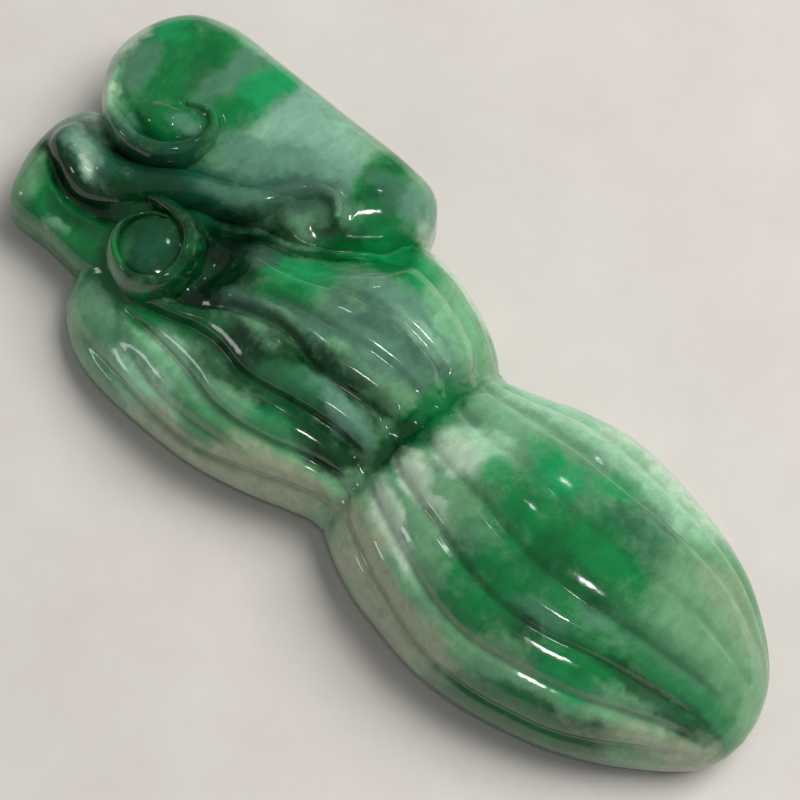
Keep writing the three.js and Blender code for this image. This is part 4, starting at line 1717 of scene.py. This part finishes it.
def sharpen_ring(piece: Object, ring: int, sides: int) -> None:
    """Marks a ring's edges sharp, so that the cap inside leaves the outside's shading alone.

    Args:
        piece: the lobe.
        ring: how many rings the cap has, of which the next is the outside's first.
        sides: points round a ring.
    """
    first = 1 + ring * sides
    ends = np.empty(2 * len(piece.data.edges), int)
    piece.data.edges.foreach_get("vertices", ends)
    sharp = ((ends >= first) & (ends < first + sides)).reshape(-1, 2).all(axis=1)
    layer = piece.data.attributes.new("sharp_edge", "BOOLEAN", "EDGE")
    layer.data.foreach_set("value", sharp)


def let_in(places: np.ndarray, plate: Plate) -> np.ndarray:
    """Lowers a lobe under a plate and in the valley along its edge.

    Args:
        places: points on the lobe, in millimetres.
        plate: the plate that is let into it.

    Returns:
        The lowered points.
    """
    away = signed_distance(places[..., :2].reshape(-1, 2), plate.edge(240)).reshape(places.shape[:-1])
    limit = plate.bed + plate.bed_slope * np.maximum(away, 0)
    height = places[..., 2]
    share = np.clip(0.5 + 0.5 * (height - limit) / plate.bed_round, 0, 1)
    lowered = places.copy()
    lowered[..., 2] = height * (1 - share) + limit * share - plate.bed_round * share * (1 - share)
    return lowered


def hollowed(places: np.ndarray, valleys: tuple[Cut, ...]) -> np.ndarray:
    """Lowers points in broad valleys.

    Args:
        places: points in millimetres.
        valleys: the valleys, with their lines in x and y.

    Returns:
        The lowered points.
    """
    lowered = places.copy()
    flat = places[..., :2].reshape(-1, 2)
    for valley in valleys:
        line = spaced(valley.places, 60)
        away = np.linalg.norm(flat[:, None] - line[None], axis=2)
        share = np.clip(1 - (away / valley.reach) ** 2, 0, 1) ** 2
        drop = (share * valley.fade(len(line))).max(axis=1) * valley.depth
        lowered[..., 2] -= drop.reshape(places.shape[:-1])
    return lowered


def signed_distance(places: np.ndarray, outline: np.ndarray) -> np.ndarray:
    """Gives each place's distance from a closed outline, negative inside it.

    Args:
        places: the places, in x and y.
        outline: the outline's corners.

    Returns:
        The distance of each place.
    """
    start = outline
    step = np.roll(outline, -1, axis=0) - start
    nearest = np.full(len(places), np.inf)
    inside = np.zeros(len(places), bool)
    for (ax, ay), (dx, dy) in zip(start, step):
        px, py = places[:, 0] - ax, places[:, 1] - ay
        share = np.clip((px * dx + py * dy) / (dx * dx + dy * dy), 0, 1)
        nearest = np.minimum(nearest, np.hypot(px - share * dx, py - share * dy))
        crosses = (py >= 0) != (py - dy >= 0)
        with np.errstate(divide="ignore", invalid="ignore"):
            inside ^= crosses & (px < py * dx / dy)
    return np.where(inside, -nearest, nearest)


# The carving


LOWER_LOBE = Lobe(
    name="jade_lower_lobe",
    node="lower_lobe",
    way=1,
    length=27.4,
    width=20.2,
    height=10.5,
    sway=-0.65,
    end_height=3.0,
    swell=(
        (0.0, 0.0, 0.0, 0.0),
        (0.05, 0.15, 0.2, 0.8),
        (0.14, 0.47, 0.58, 1.25),
        (0.22, 0.71, 0.83, 1.15),
        (0.35, 0.98, 1.0, 1.0),
    ),
    taper=(
        (0.48, 0.98, 0.98, 0.95),
        (0.6, 0.915, 0.91, 0.75),
        (0.69, 0.845, 0.82, 0.55),
        (0.78, 0.735, 0.7, 0.35),
        (0.85, 0.61, 0.57, 0.3),
        (0.915, 0.47, 0.42, 0.45),
        (0.96, 0.335, 0.27, 0.8),
        (0.99, 0.16, 0.12, 1.2),
        (1.0, 0.0, 0.0, 1.4),
    ),
    grooves=(
        Groove((82, 80, 77, 75, 76, 78, 81, 84), depth=0.35),
        Groove((62, 59, 57, 54, 56, 60, 65, 70), depth=0.5),
        Groove((48, 44, 38, 35, 38, 43, 49, 54), depth=0.45),
        Groove((26, 20, 15, 12, 13, 15, 20, 26), depth=0.45),
        Groove((2, -2, -6, -11, -12, -10, -8, -6), depth=0.55),
        Groove((-17, -21, -26, -31, -31, -27, -27, -27), depth=0.6),
        Groove((-34, -38, -45, -50, -49, -47, -43, -42), depth=0.5),
        Groove((-56, -60, -67, -73, -75, -74, -66, -60), depth=0.45),
    ),
)

UPPER_LOBE = Lobe(
    name="jade_upper_lobe",
    node="upper_lobe",
    way=-1,
    length=24.2,
    width=20.4,
    height=9.8,
    sway=0.8,
    end_height=3.2,
    swell=(
        (0.0, 0.0, 0.0, 0.0),
        (0.05, 0.2, 0.24, 0.7),
        (0.12, 0.46, 0.58, 1.0),
        (0.24, 0.81, 0.93, 1.0),
        (0.4, 1.0, 0.97, 0.6),
    ),
    taper=(
        (0.57, 0.99, 0.84, 0.3),
        (0.75, 0.905, 0.6, -0.4),
        (0.86, 0.78, 0.4, -1.0),
        (0.95, 0.56, 0.22, -1.7),
        (0.987, 0.32, 0.12, -2.0),
        (1.0, 0.0, 0.0, -2.1),
    ),
    grooves=(
        Groove((76, 75, 73, 70, 70, 70, 70, 70), stop=0.5, depth=0.45),
        Groove((54, 53, 52, 48, 46, 44, 42, 40), stop=0.5, depth=0.65),
        Groove((27, 24, 21, 16, 12, 8, 4, 0), stop=0.6, depth=0.8),
        Groove((9, 5, 2, 0, -3, -6, -8, -10), stop=0.6, depth=0.6),
        Groove((-12, -14, -15, -9, -12, -18, -24, -28), stop=0.8, depth=1.15),
        Groove((-34, -32, -32, -32, -27, -29, -34, -36), stop=0.86, depth=1.15),
        Groove((-49, -50, -52, -50, -43, -38, -36, -36), stop=0.84, depth=0.7),
        Groove((-62, -62, -64, -62, -60, -52, -46, -44), start=0.3, stop=0.76, depth=0.35),
        Groove((-68, -70, -73, -76, -73, -68, -64, -62), stop=0.88, depth=0.45),
    ),
    valleys=(
        Cut(
            ((-17.5, 1.8), (-16.1, 1.2), (-14.6, 0.2), (-13.7, -1.3), (-13.7, -2.9), (-14.4, -4.6)),
            depth=1.2,
            reach=2.3,
            ends=0.3,
        ),
    ),
)

RUYI_HEAD = Plate(
    name="jade_ruyi_head",
    node="ruyi_head",
    x=-29.75,
    y=0.93,
    length=23.9,
    width=11.4,
    height=7.4,
    round=2.5,
    crown=0.4,
    outline=(
        (0.15, 0.05),
        (0.055, 0.2),
        (0.005, 0.42),
        (0.02, 0.69),
        (0.09, 0.9),
        (0.2, 0.99),
        (0.36, 1.0),
        (0.6, 1.0),
        (0.83, 1.0),
        (0.925, 0.965),
        (0.975, 0.86),
        (0.995, 0.72),
        (0.975, 0.58),
        (0.9, 0.4),
        (0.77, 0.21),
        (0.6, 0.11),
        (0.44, 0.06),
        (0.28, 0.02),
    ),
    spine=((0.2, 0.56), (0.83, 0.67)),
    valleys=(
        Cut(((-24.6, 3.0), (-23.4, 3.3), (-22.3, 3.7), (-21.5, 4.3)), depth=-1.1, reach=2.0, ends=0.4),
        Cut(((-12.2, 4.7), (-11.3, 4.8), (-10.4, 5.0)), depth=0.75, reach=1.5, ends=0.35),
    ),
    cuts=(
        Cut(
            ((-28.3, 6.0), (-27.8, 4.7), (-27.1, 3.7), (-25.9, 3.0), (-24.2, 2.5), (-22.8, 2.7)),
            depth=0.4,
            reach=0.6,
            ends=0.25,
        ),
        Cut(((-23.5, 4.6), (-22.6, 5.2), (-21.8, 5.2), (-21.2, 4.6)), depth=0.4, reach=0.6, ends=0.3),
    ),
)

STALK = Plate(
    name="jade_stalk",
    node="stalk",
    x=-29.45,
    y=-6.449,
    length=12.4,
    width=10.6,
    height=6.2,
    round=2.1,
    crown=0.6,
    outline=(
        (0.13, 0.03),
        (0.04, 0.22),
        (0.0, 0.46),
        (0.02, 0.67),
        (0.09, 0.8),
        (0.22, 0.85),
        (0.38, 0.83),
        (0.6, 0.78),
        (0.83, 0.66),
        (0.98, 0.45),
        (1.0, 0.22),
        (0.88, 0.06),
        (0.68, 0.0),
        (0.4, 0.02),
    ),
    spine=((0.3, 0.58), (0.68, 0.6)),
    valleys=(
        Cut(
            (
                (-28.4, -1.7),
                (-27.2, -2.3),
                (-26.0, -3.0),
                (-24.6, -3.5),
                (-23.0, -3.4),
                (-21.4, -2.9),
                (-20.2, -2.2),
            ),
            depth=0.7,
            reach=1.0,
            ends=0.3,
        ),
        Cut(((-27.0, -4.1), (-25.0, -4.7), (-23.0, -5.0), (-20.5, -5.2)), depth=0.3, reach=1.2, ends=0.3),
    ),
    cuts=(
        Cut(
            ((-28.5, -2.6), (-27.1, -3.3), (-25.4, -4.0), (-23.5, -4.4), (-21.8, -4.3), (-20.5, -4.0)),
            depth=-0.22,
            reach=1.0,
        ),
        Cut(
            ((-27.6, -5.3), (-25.8, -5.2), (-24.2, -5.4), (-23.2, -5.8), (-21.3, -6.1), (-19.9, -6.2)),
            depth=-0.25,
            reach=1.0,
        ),
    ),
)

SCROLL = Rod(
    name="jade_ruyi_scroll",
    node="ruyi_scroll",
    route=(
        (-28.2, 5.0, 6.7, 0.3),
        (-27.6, 3.7, 7.1, 0.4),
        (-26.8, 2.6, 7.5, 0.5),
        (-25.7, 1.8, 7.95, 0.66),
        (-24.2, 1.35, 8.3, 0.88),
        (-22.5, 1.5, 8.5, 1.0),
        (-21.3, 2.2, 8.55, 0.92),
        (-20.5, 3.25, 8.5, 0.78),
        (-20.25, 4.4, 8.35, 0.58),
        (-20.5, 5.35, 8.15, 0.46),
        (-21.2, 5.85, 7.95, 0.38),
        (-22.0, 5.8, 7.8, 0.32),
        (-22.9, 5.4, 7.6, 0.22),
    ),
    sink=2.4,
    lean=-0.2,
)

HOOK = Rod(
    name="jade_ruyi_hook",
    node="ruyi_hook",
    route=(
        (-15.3, 3.5, 7.35, 0.5),
        (-14.4, 4.3, 7.75, 0.72),
        (-13.6, 5.3, 7.95, 0.76),
        (-12.9, 6.05, 8.0, 0.68),
        (-12.1, 6.5, 8.0, 0.58),
        (-11.3, 6.55, 7.95, 0.48),
        (-10.7, 6.2, 7.8, 0.36),
        (-10.4, 5.6, 7.6, 0.24),
    ),
    sink=2.2,
    lean=0.2,
    sides=40,
    steps=120,
)

VINE = Rod(
    name="jade_vine_band",
    node="vine_band",
    route=(
        (-28.7, -0.5, 5.9, 1.0),
        (-27.6, -0.75, 6.5, 1.75),
        (-26.2, -1.15, 6.95, 2.2),
        (-24.7, -1.4, 7.2, 2.35),
        (-23.2, -1.1, 7.3, 2.15),
        (-21.8, -0.3, 7.3, 1.75),
        (-20.2, 0.85, 7.35, 1.4),
        (-18.4, 1.9, 7.4, 1.25),
        (-16.5, 2.7, 7.55, 1.15),
        (-15.0, 3.6, 7.7, 1.0),
        (-14.1, 4.6, 7.7, 0.75),
        (-13.5, 5.4, 7.45, 0.4),
    ),
    sink=1.45,
    cuts=(
        Cut(((-26.9, -0.8), (-25.6, -1.2), (-24.3, -1.8), (-23.0, -2.3)), depth=0.55, reach=1.15, ends=0.3),
    ),
    steps=260,
)

CURL = Rod(
    name="jade_vine_curl",
    node="vine_curl",
    route=(
        (-21.2, -0.5, 6.3, 0.4),
        (-19.8, -0.3, 7.2, 0.62),
        (-18.2, -0.35, 8.0, 0.8),
        (-16.9, -0.55, 8.4, 0.9),
        (-15.7, -1.4, 8.65, 0.95),
        (-15.0, -2.8, 8.75, 0.88),
        (-15.0, -4.3, 8.65, 0.74),
        (-15.85, -5.5, 8.5, 0.6),
        (-17.3, -6.0, 8.35, 0.48),
        (-18.8, -5.6, 8.2, 0.42),
        (-19.9, -4.7, 8.0, 0.4),
        (-20.25, -3.6, 7.85, 0.34),
        (-20.0, -2.5, 7.75, 0.28),
        (-19.2, -1.6, 7.75, 0.24),
        (-18.1, -1.15, 7.8, 0.2),
    ),
    sink=3.0,
    lean=-0.45,
    steps=260,
)

BUD = Bud(name="jade_vine_bud", node="vine_bud")

POD = Pod(LOWER_LOBE, UPPER_LOBE, RUYI_HEAD)


# Studio


@dataclass(frozen=True)
class Lamp:
    """A square lamp that faces the carving.

    Attributes:
        name: its name.
        place: right, up and towards the camera from the carving, in millimetres.
        size: its side in millimetres.
        power: in watts.
        colour: its sRGB hex colour.
        mirrored: whether the polish shows it.
    """

    name: str
    place: tuple[float, float, float]
    size: float
    power: float
    colour: str
    mirrored: bool = True


MOTTLE = 90.0
"""How often the table's mottling repeats in a metre: spots of 11 mm."""

SOFTBOX_PLACE = (220, 200, 340)

LAMPS = (
    # the large soft light isn't mirrored: a weak panel in its place gives the sheen
    Lamp("softbox", SOFTBOX_PLACE, 320, 2.12, "#fffdf8", mirrored=False),
    Lamp("sheen_panel", SOFTBOX_PLACE, 320, 0.16, "#fffdf8"),
    # small lamps give the small hard highlights
    Lamp("ceiling_lamp", (14, 36, 430), 36, 0.13, "#ffffff"),
    Lamp("window_lamp", (60, 330, 260), 30, 0.035, "#f6fbff"),
    Lamp("side_panel", (-390, 20, 130), 60, 0.05, "#f6fbff"),
)


@dataclass(frozen=True)
class Studio:
    """The table, the lamps and the camera, in degrees and millimetres.

    Attributes:
        azimuth, elevation: where the camera stands.
        distance: from the camera to what it looks at.
        target: what it looks at.
        seen: half the width of what it sees there.
        sensor: width of its sensor.
        table_half: half the table's side.
        table_gap: how far the table lies under the carving, so that they don't touch.
        sky: strength of the light from all round.
    """

    azimuth: float = 41.5
    elevation: float = 68.0
    distance: float = 230.0
    target: tuple[float, float, float] = (-0.47, 0.5, 3.0)
    seen: float = 25.0
    sensor: float = 36.0
    table_half: float = 900.0
    table_gap: float = 0.03
    sky: float = 0.17

    def view(self) -> Matrix:
        """Gives the camera's turn.

        Returns:
            Its right, up and back axes as columns.
        """
        azimuth, elevation = math.radians(self.azimuth), math.radians(self.elevation)
        back = Vector(
            (
                math.sin(azimuth) * math.cos(elevation),
                -math.cos(azimuth) * math.cos(elevation),
                math.sin(elevation),
            )
        )
        right = Vector((math.cos(azimuth), math.sin(azimuth), 0))
        return Matrix((right, back.cross(right), back)).transposed()

    def camera(self) -> None:
        """Sets up the camera at the photograph's angle."""
        data = bpy.data.cameras.new("photo_camera")
        data.sensor_width = self.sensor
        data.sensor_height = self.sensor
        data.sensor_fit = "HORIZONTAL"
        data.lens = self.sensor / 2 * self.distance / self.seen
        data.clip_start = 10 * MM
        camera = new_object("photo_camera", data)
        turn = self.view()
        stand = (Vector(self.target) + turn.col[2] * self.distance) * MM
        camera.matrix_world = Matrix.Translation(stand) @ turn.to_4x4()
        bpy.context.scene.camera = camera

    def hang(self, lamp: Lamp) -> None:
        """Hangs a lamp and turns it to the carving.

        Args:
            lamp: the lamp.
        """
        data = bpy.data.lights.new(lamp.name, "AREA")
        data.size = lamp.size * MM
        data.energy = lamp.power
        data.color = linear(lamp.colour)[:3]
        hung = new_object(lamp.name, data)
        spot = self.view() @ Vector(lamp.place)
        turn = spot.to_track_quat("Z", "Y").to_matrix().to_4x4()
        hung.matrix_world = Matrix.Translation(spot * MM) @ turn
        hung.visible_glossy = lamp.mirrored

    def table(self) -> None:
        """Lays the pale table under the carving."""
        mesh = bpy.data.meshes.new("pale_table")
        half, low = self.table_half * MM, -self.table_gap * MM
        corners = [(-half, -half, low), (half, -half, low), (half, half, low), (-half, half, low)]
        mesh.from_pydata(corners, [], [(0, 1, 2, 3)])
        table = new_object("pale_table", mesh)
        material, add = bare_material("matt_pale_board")
        place = add("ShaderNodeTexCoord").outputs["Object"]
        spots = {"Vector": place, "Scale": MOTTLE, "Detail": 8.0, "Roughness": 0.7}
        mottle = add("ShaderNodeTexNoise", spots)
        tones = {0: mottle, 6: linear("#cbc4c0"), 7: linear("#e2dedb")}
        tone = add("ShaderNodeMix", tones, data_type="RGBA").outputs[2]
        board = add("ShaderNodeBsdfPrincipled", {"Base Color": tone, "Roughness": 0.8})
        add("ShaderNodeOutputMaterial", {"Surface": board})
        mesh.materials.append(material)

    def light(self) -> None:
        """Sets the soft sky of the studio and its lamps."""
        world = bpy.data.worlds.new("studio")
        world.use_nodes = True
        sky = world.node_tree.nodes["Background"]
        sky.inputs["Color"].default_value = linear("#f4f6f8")
        sky.inputs["Strength"].default_value = self.sky
        bpy.context.scene.world = world
        for lamp in LAMPS:
            self.hang(lamp)

    def build(self) -> None:
        """Builds the whole studio."""
        self.camera()
        self.table()
        self.light()
        bpy.context.scene.view_settings.view_transform = "Standard"


def main() -> None:
    """Builds the carving, form by form, and the studio round it."""
    logging.basicConfig(level=logging.INFO, format="%(name)s %(message)s")
    Studio().build()
    trees = Trees(rod_tree(), carve_tree(), drape_tree())
    pod, ruyi, vine = (Work(trees, jade, jade.material()) for jade in (POD_JADE, RUYI_JADE, VINE_JADE))
    bud, curl, band = (form.build(vine) for form in (BUD, CURL, VINE))
    scroll, hook = (form.build(ruyi) for form in (SCROLL, HOOK))
    head = RUYI_HEAD.build(ruyi, [Stand((scroll, hook), 0.6), Stand((band,), 2.2)])
    stalk = STALK.build(pod, [Stand((band, curl, bud), 0.6)])
    POD.build(pod, [Stand((head, band, curl, bud), 0.7), Stand((stalk,), 1.5)])


if __name__ == "__main__":
    main()
